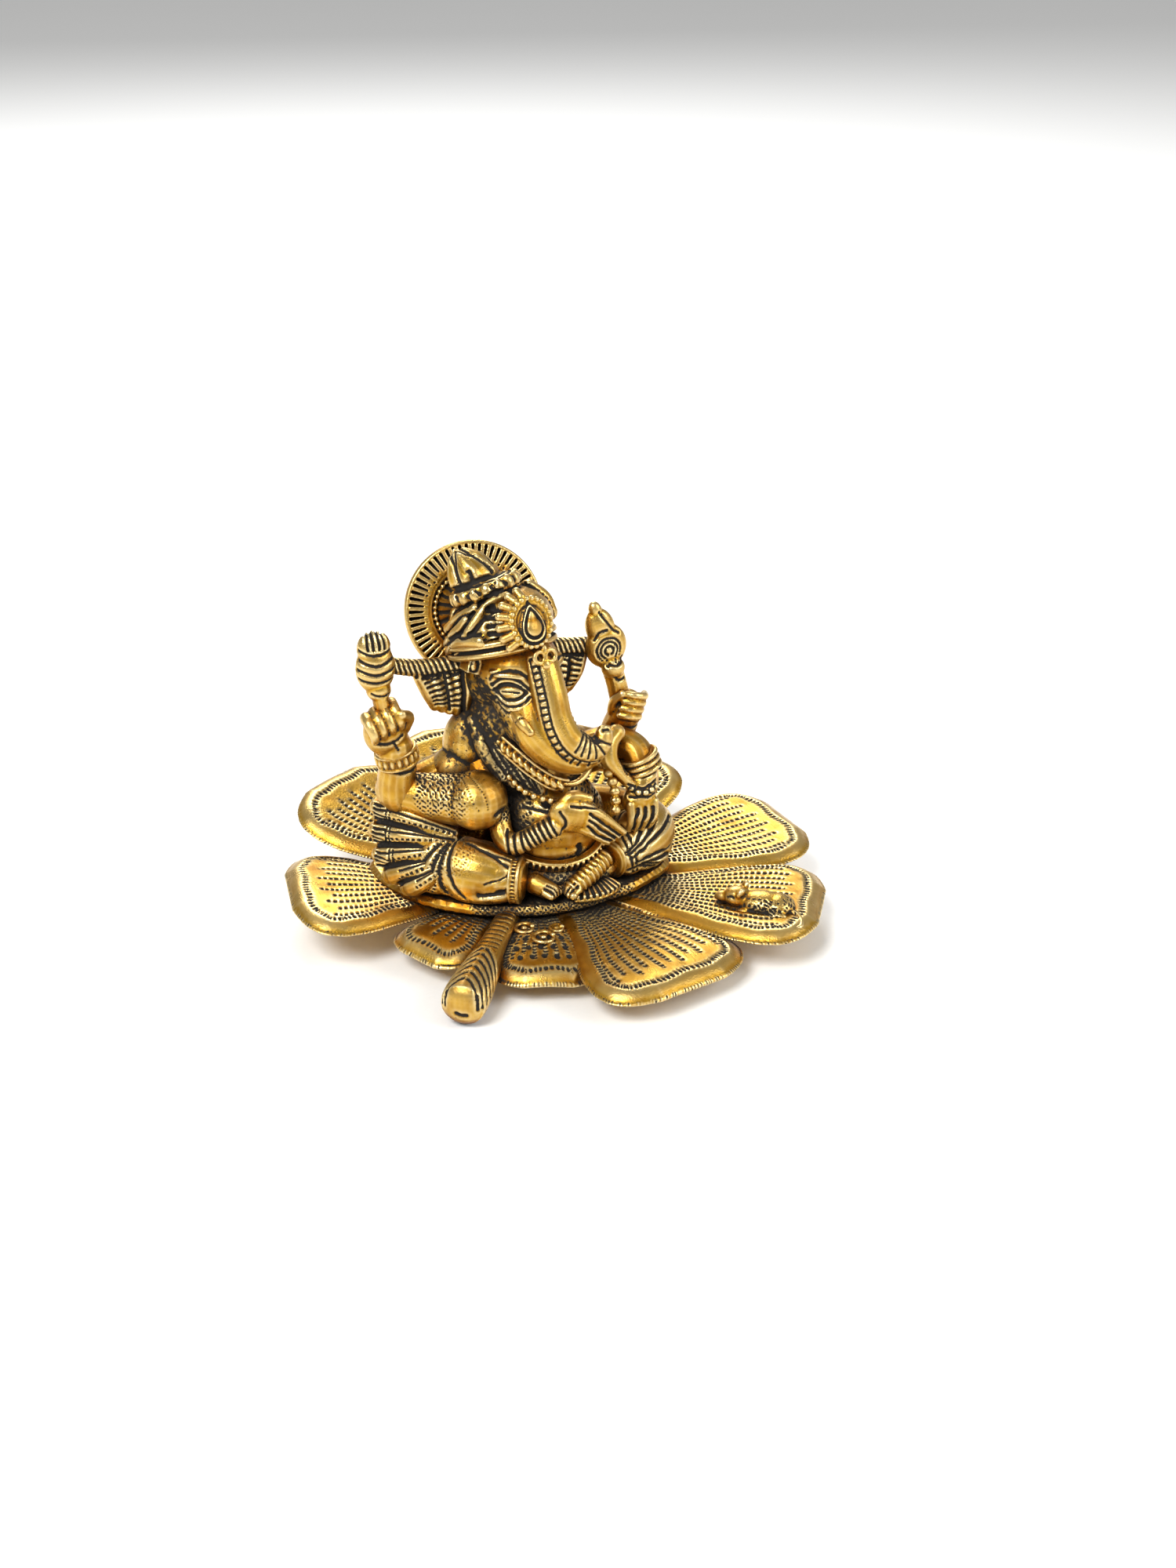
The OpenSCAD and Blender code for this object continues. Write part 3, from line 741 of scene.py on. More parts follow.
def body():
    parts = [blob((4, -5, 16.5), (14.6, 13.2, 14)), blob((0, 5, 13), (15, 13, 13)),
            blob((-1, 3, 31), (12.5, 10.5, 11.5)), blob((-6.5, -4.5, 33.5), (7, 5.5, 5.5)),
            blob((6, -5, 32), (6.5, 5.5, 5.5)), blob((-15, 5, 38.5), (8.6, 7.4, 10)), blob((-20, 4.6, 31.5),
            (7.4, 6.6, 6.6)), blob((13.5, 6, 31), (7.2, 7, 7)), blob((3, -9, 11.4), (12, 8.8, 7.6)),
            blob((5, -11, 4), (19, 10, 5))]
    parts += tube([(-1, 4, 30, 11), (-5, 2, 39, 10.5), (-7, 2, 46, 10)])
    for i in range(4):       # cords and folds that run from the ear down into the lap
        x = -16 + i * 3.0
        parts += tube([(x, 0.6 - i * 1.6, 46 - i * 1.4, 2.4), (x + 1.4, -4 - i * 1.4, 39.5 - i * 1.6, 2.6),
                (x + 4.6, -7.6 - i, 33 - i * 1.6, 2.3)])
    s = Skin(fuse(parts, 0.38))
    s.lines((0.5, 0.4, [(-9, -12, 25.5), (0, -17.5, 24), (9, -17, 23.5), (16, -11, 24.5)]),
            (0.8, 0.8, [(7.2, -18.6, 12.4), (8.2, -18.4, 11.2), (7.3, -18.2, 10.2)]),
            (0.6, 0.5, [(-9, -10, 8), (0, -16, 4.6), (8, -17, 4.2), (15, -12, 5)]))
    for i in range(5):
        s.line([(-15 + i * 2.2, -4 - i * 1.6, 42 - i), (-12 + i * 2.2, -9 - i * 1.4, 36 - i * 1.6),
                (-9 + i * 2.4, -12 - i, 31 - i * 2)], width=0.5, depth=0.6)
    for c, r, d in (((13, -12, 27), 8, 0.9), ((-9, -8, 22), 8, 0.9), ((5, -22, 0), 12, 1.0),
            ((-9, -10, 34), 6, 0.6)):
        s.stipple(c, r, pitch=1.9, depth=0.3, dark=d)
    # black painted shade and patina under the ear, at the throat and on the shoulder beside the raised arm
    for c, r, d in (((-14, -1, 46), 10, 0.8), ((-12, -6, 37), 8, 0.8), ((-22, 2, 36), 6, 0.5),
            ((-20, 1, 28), 7, 0.8)):
        s.shade_and_patina_smudge(c, r, d)
    # back: spine furrow and the tied ends of the sash
    s.line([(-1, 16, 38), (-0.5, 18, 26), (0, 19, 12)], width=0.8, depth=0.5, dark=0.6)
    s.lines((0.8, -0.6, [(-13, 12, 19), (0, 19.5, 17.5), (13, 14, 18)]),
            (0.6, 0.5, [(-13, 12, 16), (0, 19.5, 14.5), (13, 14, 15)]))
    place(s.done(), "torso")


def belly_band():
    at = FIG.spot((3, -4, 13), (24, 0, 0))
    parts = [lathe([(14.2, 0.2), (16.1, 0), (16.5, 0.5), (16.2, 1.0), (16.2, 2.2), (16.5, 2.7), (16.1, 3.2),
            (14.2, 3.0), (14.2, 0.2)], at, 120)]
    for i in range(58):
        a = i * 2 * math.pi / 58
        parts.append(slab(pole(16.25, a, 1.6), (1.3, 0.75, 2.2), at, (0, 0, math.degrees(a))))
    place(tone(fuse(parts, 0.26, 2, 0.4)), "belly_band")


def right_leg():
    parts = tube([(-13, 8, 10.2, 10), (-24, 3, 9.6, 9.2), (-28, -4, 8.6, 8.6), (-22, -11.5, 8.4, 8.4),
            (-16, -15.4, 7.2, 7.2)], sides=8)
    parts.append(blob((-20.5, -11.2, 7.2), (12, 9.6, 8.6), turn=(0, 6, -24)))
    parts.append(blob((-27.5, -3.5, 5.2), (9.8, 9.5, 5.4), turn=(0, 0, 30)))
    parts.append(blob((-19, -14.4, 4.4), (11, 7.4, 4.6), turn=(0, 0, -26)))
    parts.append(blob((-13.6, -16.6, 6.4), (5.2, 6.8, 6.4), turn=(0, 0, -30)))
    s = Skin(fuse(parts, 0.34))
    # folds that open from the lap over the knee
    for i, (x1, y1, z1) in enumerate(((-36, 1, 9), (-36, -5, 5.5), (-34.5, -9, 3), (-31, -14, 2))):
        s.line([(-22, -5.5, 16), (-28 - i * 0.3, -5.5 - i * 1.6, 13.2 - i), (x1, y1, z1)], width=0.8, depth=0.9)
        s.line([(-23, -6.5, 15.4), (-28.6 - i * 0.3, -6.8 - i * 1.7, 12 - i), (x1 + 1, y1 - 1.6, z1 - 1)],
                width=0.5, depth=0.35, dots=1.5)
    s.lines((0.6, 0.7, [(-23.5, -7.5, 15.6), (-28.5, -13, 13), (-30, -17, 8), (-28.5, -19.5, 2)]),
            (0.55, 0.6, [(-23, -12, 16), (-18.5, -16.5, 13), (-14.9, -18.6, 9.8)]),
            (0.4, 0.4, [(-20.5, -14.8, 14.6), (-15.6, -17.4, 12.4), (-12, -19, 11)]),
            (0.8, 1.1, [(-23, -20.4, 4.6), (-16.8, -21.6, 5.4), (-11.5, -20.5, 8)]))
    s.line([(-21.5, -21, 8.2), (-16.4, -21.4, 9.4), (-13.4, -20.6, 11)], width=0.35, depth=0.35, dark=0.8)
    s.stipple((-26, -12, 13), 7, pitch=1.3, depth=0.12, dark=0.35)
    place(s.done(), "right_leg")


def left_leg():
    parts = tube([(13, 8, 9.6, 9.6), (25, 3, 9, 9), (32, -4, 8.2, 8.2), (28.6, -11, 7.8, 7.8),
            (22, -14.6, 6.6, 6.4)], sides=8)
    parts.append(blob((27, -9, 4), (11.5, 10, 4.2), turn=(0, 0, 25)))
    parts.append(blob((26, -10, 12), (5.5, 6, 4.6)))
    s = Skin(fuse(parts, 0.36))
    # pleats that fan out from the knot above the ankle
    for i, tip in enumerate(((25.5, -17, 14.6), (31, -13, 13.6), (36, -8, 11), (38.4, -8, 6.4), (37.6, -11, 3),
            (34, -15.4, 1.4), (29.6, -18.6, 0.6))):
        tip = np.array(tip)
        root = np.array((19.4, -19.6, 7.6 - i * 0.5))
        mid = root * 0.45 + tip * 0.55 + (0.2, -2.4, 0.8)
        s.line([root + (tip - root) * 0.15, mid, tip], width=0.6, depth=0.9)
    s.line([(21, -9, 15.5), (29, -5, 17), (36, -1, 13)], width=0.7, depth=0.7)
    for off in (0, 1.7):
        s.line([(20.2 + off, -12, 13.6), (20.4 + off, -17.5, 11.4), (21.2 + off, -20.5, 7),
                (22.6 + off, -20.6, 1)], width=0.45, depth=0.6)
    s.line([(21.9, -17, 11.6), (22.4, -20.2, 7), (23.6, -20, 1.4)], width=0.3, depth=0.35, dots=1.1)
    s.stipple((27, -12, 15), 4, pitch=1.2, depth=0.2, dark=0.6)
    place(s.done(), "left_leg")


def foot(node, path, toes, rings):
    parts = tube(path, sides=6)
    end, back = np.array(path[-1][:3]), np.array(path[-2][:3])
    d = unit(end - back)
    side = sides_of(d)[0]
    for i in range(5):
        c = end + side * (i - 2) * toes + d * (1.9 - 0.25 * abs(i - 1))
        parts.append(blob(c, 1.15 - 0.08 * i))
        parts += tube([(*(end + side * (i - 2) * toes * 0.8 - d), 1.1), (*c, 0.9)])
    # anklets wound side by side up the shin
    along = spline(path, 1.35)
    for c, t in zip(along if rings else (), np.gradient(along[:, :3], axis=0)):
        a, b = sides_of(unit(t))
        w = circle(20)[:, None]
        ring = c[:3] + (a * np.cos(w) + b * np.sin(w)) * c[3] * 0.92
        parts += tube(np.hstack([ring, 0.62 + 0 * w]), ends=False)
    s = Skin(fuse(parts, 0.26, 2))
    for i in range(4):
        c = end + side * (i - 1.5) * toes + (0, 0, 1)
        s.line([c - d, c + d * 1.4, c + d * 2.6 - (0, 0, 1.6)], width=0.3, depth=0.6)
    place(s.done(), node)


def cuffs():
    """Both ankle hems: two rolled cords and a ribbed strip between them."""
    parts = []
    for c, turn, r in (((-12.6, -17.2, 6.2), (0, 90, -32), 6.2), ((16.5, -16, 6.2), (0, 90, 32), 5.2)):
        at = FIG.spot(c, turn)
        for z in (0.3, 2.5):
            a = circle(40)
            parts += tube(pole(r, a, z, 0.5), at, ends=False)
        parts.append(lathe([(0, -1), (r - 0.2, -0.6), (r - 0.1, 2.6), (r - 1.2, 3.6), (0, 4.4)], at, 60))
        for i in range(34):
            a = i * math.pi / 17
            parts.append(slab(pole(r, a, 1.4), (0.6, 0.45, 1.5), at, (0, 0, math.degrees(a))))
    place(tone(fuse(parts, 0.26, 2, 0.4)), "ankle_cuffs")


def hem_fan():
    at = FIG.spot((8, -13, 0))
    parts = [blob((0.6, -8.6, 0.4), (6.2, 3.6, 1.6), at)]
    for i in range(9):
        a = math.radians(-110 + i * 8.2)
        parts += tube([pole(4.6, a, 2.9, 0.6), pole(9, a, 2.3, 0.85), pole(12.2, a, 0.9, 0.95)], at)
    for r, z, w in ((12.4, 0.2, 0.7), (6.4, 3.0, 0.8)):
        a = np.radians(np.linspace(-112, -44, 12))
        parts += tube(pole(r, a, z, w), at)
    s = Skin(fuse(parts, 0.22, 1, 0.4))
    for i in range(10):
        a = math.radians(-114.1 + i * 8.2)
        s.line([pole(6, a, 3.2), pole(9, a, 3), pole(12.6, a, 1)], width=0.5, depth=0.5, at=at)
    place(s.done(), "hem_fan")


def hip_cloth():
    """Broad pleats that spread from the lap to the hip; three of them end in a combed fringe."""
    root = np.array((-25.0, -6.0, 17.2))
    tips = [(-41.2, 9.5, 21.2), (-42.6, 7, 15.4), (-42.8, 4.2, 9.4), (-41.4, 0, 4.8), (-38, -5.4, 3.2)]
    parts, folds = [], []
    for i, tip in enumerate(np.array(tips)):
        start = root + (-0.5 * i, -1.1 * i, -1.5 * i)
        mid = (tip + start) / 2 + (-1.2, -1.8, 1.4 - 0.3 * i)
        parts += tube([(*start, 1.6), (*mid, 2.9), (*(tip * 0.8 + mid * 0.2), 3.3), (*tip, 2.6)], sides=5)
        folds.append((start, mid, tip))
    out = np.array((-0.55, -0.83, 0))
    for start, mid, tip in folds[:3]:
        parts.append(slab(tip + (1.0, -0.6, 0), (5.4, 4.4, 5.6), turn=(0, 0, 55)))
    s = Skin(fuse(parts, 0.28, 3, 0.5))
    for i, (start, mid, tip) in enumerate(folds):
        d = unit(tip - mid)
        if i < 4:
            nxt = folds[i + 1]
            s.line([(a + b) / 2 + (-0.6, -2.2, 0.2) for a, b in zip((start, mid, tip), nxt)], width=0.6,
                    depth=1.0)
        for off in (-0.9, 0.9):
            s.line([start + (0, -1.5, 0.8 + off * 0.4), mid + out * 2.6 + (0, 0, 0.8 + off),
                    tip - d * 4.4 + out * 2.6 + (0, 0, 0.6 + off)], width=0.42, depth=0.45,
                    dots=0 if off > 0 else 1.6)
        if i < 3:
            across = np.array((-0.83, 0.55, 0))
            for j in range(4):
                c = tip + out * 3 + (0, 0, 2.0 - j * 1.35)
                s.line([c + across * 1.8, c - across * 3.4], width=0.36, depth=0.85)
            for k in (3.9, 5.1):
                c = tip + out * 3 - across * k
                s.line([c + (0, 0, 3), c + out * 0.4, c - (0, 0, 3)], width=0.36, depth=0.55)
    place(s.done(), "hip_cloth")


def bolster():
    parts = tube([(-37.5, 5.5, 27.5, 5.6), (-30, 2, 26, 6.6), (-23, -4, 26.2, 7.2)], sides=8)
    parts.append(blob((-18.6, -7.6, 26.8), (8.6, 8.2, 8.2), turn=(0, 0, 38)))
    s = Skin(fuse(parts, 0.32))
    at = FIG.spot((-13.6, -13.6, 22.8), (70, 0, 38))
    for r, depth in ((2.2, 0.9), (3.6, 0.7)):
        a = np.linspace(-0.6, 2.6, 16)
        s.line(np.stack([r * np.cos(a) - 0.6, r * 0.8 * np.sin(a) - 1.2, 3 + 0 * a], 1), width=0.7, depth=depth,
                at=at)
    # the upper side lies under the arm, matted and scratched
    for c, r, d in (((-27, -1, 33), 7, 0.9), ((-22, -3, 34), 6, 1.0), ((-30, -4, 28), 6, 0.5),
            ((-24, -9, 28), 6, 0.35)):
        s.stipple(c, r, pitch=1.5, depth=0.25, dark=d)
    for i in range(9):
        x = -33 + i * 1.5
        s.line([(x, 1 - i * 0.8, 33), (x + 1.2, -4 - i * 0.7, 31), (x + 2.6, -6 - i * 0.7, 27)], width=0.3,
                depth=0.15, dark=0.7)
    place(s.done(), "bolster")


def right_rear_arm():
    parts = tube([(-17, 6, 32, 6), (-28, 6.5, 28, 6), (-36, 5, 26.5, 5.8), (-37.4, 4, 31, 5.4),
            (-37, 3, 38, 4.9), (-38.6, 2, 42, 5.2)], sides=6)
    at = FIG.spot((-41.2, 1, 48), (0, -18, 10))
    parts += [blob((0, 0, -1), (6.2, 4.8, 6.8), at)]
    for i in range(4):
        x = 4.4 - i * 2.7
        parts += tube([(x + 0.6, 2.6, 3.4, 1.5), (x, 0, 6.2 - 0.25 * abs(i - 1), 1.6),
                (x - 0.9, -3.6, 5.4, 1.5), (x - 1.2, -5.2, 2.6, 1.3), (x - 1.2, -4.2, 0.6, 1.1)], at)
    parts += tube([(5, -1, -2, 1.9), (6.2, -3.6, 1.5, 1.7), (4.2, -5.4, 4.2, 1.4)], at)
    s = Skin(fuse(parts, 0.3))
    s.lines((0.5, 0.6, [(-5, -3.4, -1), (-1, -5.4, -2.6), (3, -4.8, -2.2)]),
            (0.45, 0.5, [(-0.5, -5.4, -2.6), (0, -5.2, -5)]), at=at)
    s.line([(-41.5, 0, 36.4), (-37, -2.6, 35.2), (-32, 0.5, 35.6)], width=0.5, depth=0.5)
    place(s.done(), "right_rear_arm")


def right_bangle():
    at = FIG.spot((-37, 3, 36.5), (0, -12, 0))
    parts = [lathe([(4, 0), (5.7, 0), (6.0, 0.5), (5.5, 1.1), (5.5, 3.5), (6.0, 4.1), (5.7, 4.6), (4, 4.6),
            (4, 0)], at, 60)]
    for i in range(18):
        a = i * math.pi / 9
        parts += [blob(pole(5.35, a, 2.3), (0.85, 0.72, 1.45), at, (0, 0, math.degrees(a)), 12)]
    place(tone(fuse(parts, 0.24, 1, 0.4)), "right_bangle")


def left_rear_arm():
    parts = tube([(16, 7, 31, 6), (23, 7, 28.5, 6), (28, 5, 29, 5.8), (27, 3.6, 35, 5), (28.2, 1.5, 41, 4.6)],
            sides=6)
    at = FIG.spot((28.5, 1, 43.5), (0, 16, -10))
    parts += [blob((0, 0, 0), (4.6, 3.8, 5), at)]
    for i in range(4):
        z = 4.2 - i * 2.1
        parts += tube([(4.2, 0.6, z, 1.1), (3.2, -2.6, z + 0.4, 1.2), (0.4, -4.2, z + 0.6, 1.15),
                (-2.2, -3.6, z + 0.3, 1.0)], at)
    parts += tube([(-3.6, 0, -2, 1.5), (-4.6, -2, 1.5, 1.3), (-3.4, -3.6, 4.4, 1.1)], at)
    s = Skin(fuse(parts, 0.3))
    s.line([(23, -1, 39), (27, -2.6, 38), (31.5, 0, 38.6)], width=0.5, depth=0.5)
    place(s.done(), "left_rear_arm")


def right_front_arm():
    parts = tube([(-14, 3, 33, 6.2), (-13.6, -3, 29, 4.6), (-13, -8, 23, 3.2), (-13.2, -12.6, 17.4, 3.1),
            (-11.4, -16.2, 16.2, 3.1), (-6.5, -17.8, 18.2, 3.1), (-1.4, -19, 20.6, 3.3)], sides=6)
    # open hand: a long smooth palm, four fingers that point down, the thumb along the top
    parts += [blob((3.4, -19.8, 23.6), (6.0, 3.0, 5.0), turn=(0, 20, -12)),
            blob((8, -20.4, 22), (5.4, 2.6, 4.2), turn=(0, 35, -10))]
    for i in range(4):
        z = 3.0 - i * 2.0
        parts += tube([(6.6 - 0.5 * i, -20.8, 23.4 + z, 1.55), (12 - 0.8 * i, -21.6, 20.2 + z * 0.8, 1.4),
                (18.4 - 1.6 * i, -21.4, 15.6 + z * 0.34, 0.95)])
    parts += tube([(0.6, -18.8, 25.6, 2.2), (4.4, -19, 28.6, 1.9), (9, -19.6, 27.6, 1.3)])
    s = Skin(fuse(parts, 0.27, 2))
    # ribbed sleeve along the wrist
    path = spline([(-12.4, -15.4, 16.2, 3.4), (-9, -17.2, 17, 3.4), (-5.4, -18, 18.8, 3.4),
            (-1.2, -19, 20.9, 3.4)], 1.35)
    for c, t in zip(path, np.gradient(path[:, :3], axis=0)):
        a, b = sides_of(unit(t))
        s.line([c[:3] + (a * math.cos(w) + b * math.sin(w)) * c[3] for w in np.linspace(-1.4, 1.9, 7)],
                width=0.42, depth=0.8)
    for i in range(3):
        z = 2.0 - i * 2.0
        s.line([(8.2 - 0.5 * i, -23.4, 22.6 + z), (12.2 - 0.8 * i, -23.6, 19.4 + z * 0.8),
                (17.4 - 1.4 * i, -22.4, 15.4 + z * 0.3)], width=0.36, depth=0.7)
    s.lines((0.45, 0.6, [(-0.4, -21.8, 26), (1.2, -22.6, 23), (0.4, -22, 18.8)]),
            (0.4, 0.7, [(3, -21.6, 27.2), (7, -22.4, 26.4), (10.6, -21.6, 25.4)]))
    s.stipple((-13, -8, 22), 5.5, pitch=1.4, depth=0.4, dark=1.0)
    place(s.done(), "right_front_arm")


def left_front_arm():
    parts = tube([(17, 2, 31, 6), (23, -2, 34, 5.4), (27.5, -6.6, 33, 5), (28, -10.5, 28.6, 4.6),
            (27, -13, 24, 4.2)], sides=6)
    parts += tube([(26, 0, 30, 5.4), (31, -2, 27, 5), (31.5, -4, 21, 4.4), (30, -5, 16.5, 3.4)], sides=6)
    parts += [blob((26.4, -13.6, 21.6), (5.0, 3.4, 4.8), turn=(0, -8, 0))]
    for i in range(4):
        x = -3.6 + i * 2.3
        parts += tube([(26.6 + x, -15.6, 21.4, 1.35), (26.2 + x * 0.95, -16.8, 17.4, 1.25),
                (25.4 + x * 0.85, -15.8, 13.6 + 0.4 * abs(i - 1.5), 0.95)])
    # the bracelet's loose end, a bright curl beside the trunk
    parts += tube([(21.4, -9, 40.6, 2.4), (18.4, -10.6, 38.4, 2.9), (18, -12, 34.4, 2.8),
            (20.4, -13, 30.8, 2.2), (23.4, -14, 27, 1.6)])
    s = Skin(fuse(parts, 0.28, 2))
    for off in (0, 1.7, 3.4):
        s.line([(20.6 + off * 0.5, -12, 34.6 - off), (25 + off * 0.5, -14.6, 32.2 - off),
                (31.6, -9, 32.4 - off)], width=0.42, depth=0.7)
    for i in range(3):
        x = -2.45 + i * 2.3
        s.line([(26.6 + x, -18, 20.8), (26.2 + x, -18.4, 17.4), (25.5 + x * 0.9, -17, 14.2)], width=0.4,
                depth=0.7)
    s.line([(21.8, -10.6, 39), (21, -13, 35.6), (22.6, -14.8, 31)], width=0.5, depth=0.6)
    s.beads([(22, -15.6, 25.8), (26, -17.8, 25.2), (31, -14.4, 25.6)], r=0.85, pitch=1.8)
    s.lines((0.4, 0.5, [(22, -15.6, 27.4), (26, -17.8, 26.8), (31, -14.4, 27.2)]),
            (0.4, 0.5, [(22, -15.6, 24.2), (26, -17.8, 23.6), (31, -14.4, 24)]))
    s.stipple((21, -8, 28), 5, pitch=1.3, depth=0.4, dark=1.0)
    place(s.done(), "left_front_arm")


def left_armlet():
    at = FIG.spot((27.2, -10, 33.5), (0, 160, -20))
    parts = []
    a = circle(40)
    for z in (0.4, 2.2, 4.0):
        parts += tube(pole(5.1, a, z, 0.72), at, ends=False)
    parts.append(lathe([(3.4, 0), (4.9, 0), (4.9, 4.4), (3.4, 4.4), (3.4, 0)], at, 48))
    place(tone(fuse(parts, 0.25, 1, 0.4)), "left_armlet")


def axe():
    """The bud-shaped blade in the raised right hand, cut with ribs and a notched edge."""
    parts = tube([(-41.5, 0, 52, 2.3), (-42.4, -0.4, 58, 2.2)], sides=5)
    parts += [blob((-43.2, 0, 66), (5.4, 3.6, 7)), blob((-43.4, 0, 71.5), (4.6, 3.2, 5)), blob((-42.6, 0, 59.8),
            (3.4, 3, 3.2))]
    s = Skin(fuse(parts, 0.28))
    for i in range(4):
        z = 62.4 + i * 2.6
        s.line([(-48.4, -0.6, z + 1.6), (-43.8, -4, z), (-38.2, -0.8, z + 1.2)], width=0.45, depth=0.65)
    for i in range(4):
        x = -45.8 + i * 1.6
        s.line([(x, -2.6, 72), (x - 0.2, -1, 76.4), (x, 1.6, 75)], width=0.45, depth=1.0)
    s.line([(-45.4, -2.4, 59.4), (-42.6, -3.4, 58.4), (-39.8, -2, 59.2)], width=0.4, depth=0.5)
    place(s.done(), "axe")


def conch():
    """The pointed shell in the raised left hand, with a rolled whorl on its face."""
    parts = tube([(26.8, 1.5, 46, 3.0), (25.6, 1.6, 51, 2.9), (24.2, 1.8, 56, 3.0)], sides=5)
    parts += [blob((22.6, 1.8, 62), (6.0, 3.3, 6.4)), blob((21, 2, 67.4), (4.2, 2.8, 5.8), turn=(0, -18, 0)),
            blob((19.6, 2, 72.4), (1.9, 1.8, 2.8), turn=(0, -18, 0)), blob((24, 0, 56), (3.4, 2.8, 3))]
    s = Skin(fuse(parts, 0.28))
    for r in (1.4, 2.9, 4.2):
        a = np.linspace(-0.9, 4.4, 20)
        s.line(np.stack([22.4 + r * np.cos(a), -2.5 + 0 * a, 61.4 + r * np.sin(a)], 1), width=0.42, depth=0.55)
    s.lines((0.45, 0.5, [(26, -0.8, 66.6), (23.4, -1.8, 68.6), (20.4, -1, 72.4)]),
            (0.4, 0.5, [(18, -0.8, 65), (20.2, -1.8, 67), (22.2, -1.8, 67.4)]),
            (0.45, 0.6, [(27, -0.6, 58.6), (24.6, -2.8, 57.4), (21.8, -2, 58)]),
            (0.4, 0.5, [(23, -1.6, 53.4), (25.6, -2.2, 52.4), (28.4, -1, 53)]))
    place(s.done(), "conch")


# grooves around an eye: width, depth, blackness and points; both lids, the slit, two pouches, the brow
EYE_LINES = ((0.5, 0.9, 1.0, (-4.8, 0, -0.4), (-2.4, 0, 2), (1.4, 0, 2.1), (4.2, 0, 0.2)),
        (0.5, 0.9, 1.0, (-4.8, 0, -0.4), (-1.6, 0, -1.9), (2, 0, -1.7), (4.2, 0, 0.2)),
        (0.36, 0.5, 1.0, (-2.6, -1, 0.3), (0, -1, 0.5), (2.4, -1, 0.3)), (0.45, 0.6, 1.0, (-5.6, 0, 1.4),
        (-2.8, 0, 3.6), (1.8, 0, 3.5), (5.4, 0, 0.8)), (0.45, 0.55, 1.0, (-5.2, 0, -2), (-1.2, 0, -3.7),
        (3, 0, -3.2), (5, 0, -1.2)), (0.42, 0.4, 0.8, (-4.4, 0, -3.8), (-0.4, 0, -5.5), (4, 0, -4.6)),
        (0.5, 0.45, 0.8, (-6.4, 0, 3.2), (-3, 0, 5.9), (2.4, 0, 5.8), (6, 0, 3)),)


def head():
    parts = [blob((-5.5, 3, 58), (12, 11, 12)), blob((-4.6, -1.7, 61), (11.8, 11.6, 11.6))]
    parts += tube([(-4.6, -3.4, 60, 10.4), (-4.6, -7, 54.5, 8.6), (-4, -9.4, 49, 7.4)], sides=8)
    eyes = [(FIG.spot((-10.1, -11.8, 58.4), (0, 0, -27)), 1), (FIG.spot((5.3, -8.1, 58.6), (0, 0, 56)), -1)]
    for at, k in eyes:
        parts += [blob((0, 0.5, 0.2), (3.0, 1.5, 1.5), at), blob((-k * 0.6, 1.4, 4.4), (5.2, 2, 1.5), at,
                (0, k * 8, 0))]
    s = Skin(fuse(parts, 0.3))
    for at, k in eyes:
        for width, depth, dark, *pts in EYE_LINES:
            s.line([(k * x, y, z) for x, y, z in pts], width=width, depth=depth, dark=dark, at=at)
        # black painted shade and patina beside each eye
        s.shade_and_patina_smudge((-k * 7, 2, -2), 6, 0.9, at=at)
    # the temple and the throat lie in shadow, black
    for c, r in (((-16, -5, 57), 6), ((-13.6, -8, 49.4), 7), ((-11, -9, 43), 6), ((-15, 0, 52), 9),
            ((-15, 3, 46), 8)):
        s.shade_and_patina_smudge(c, r, 0.8)
    s.line([(-10.6, -13, 53), (-8.4, -15.8, 49.4), (-6, -16.4, 46)], width=0.5, depth=0.5, dark=0.8)
    place(s.done(), "head")


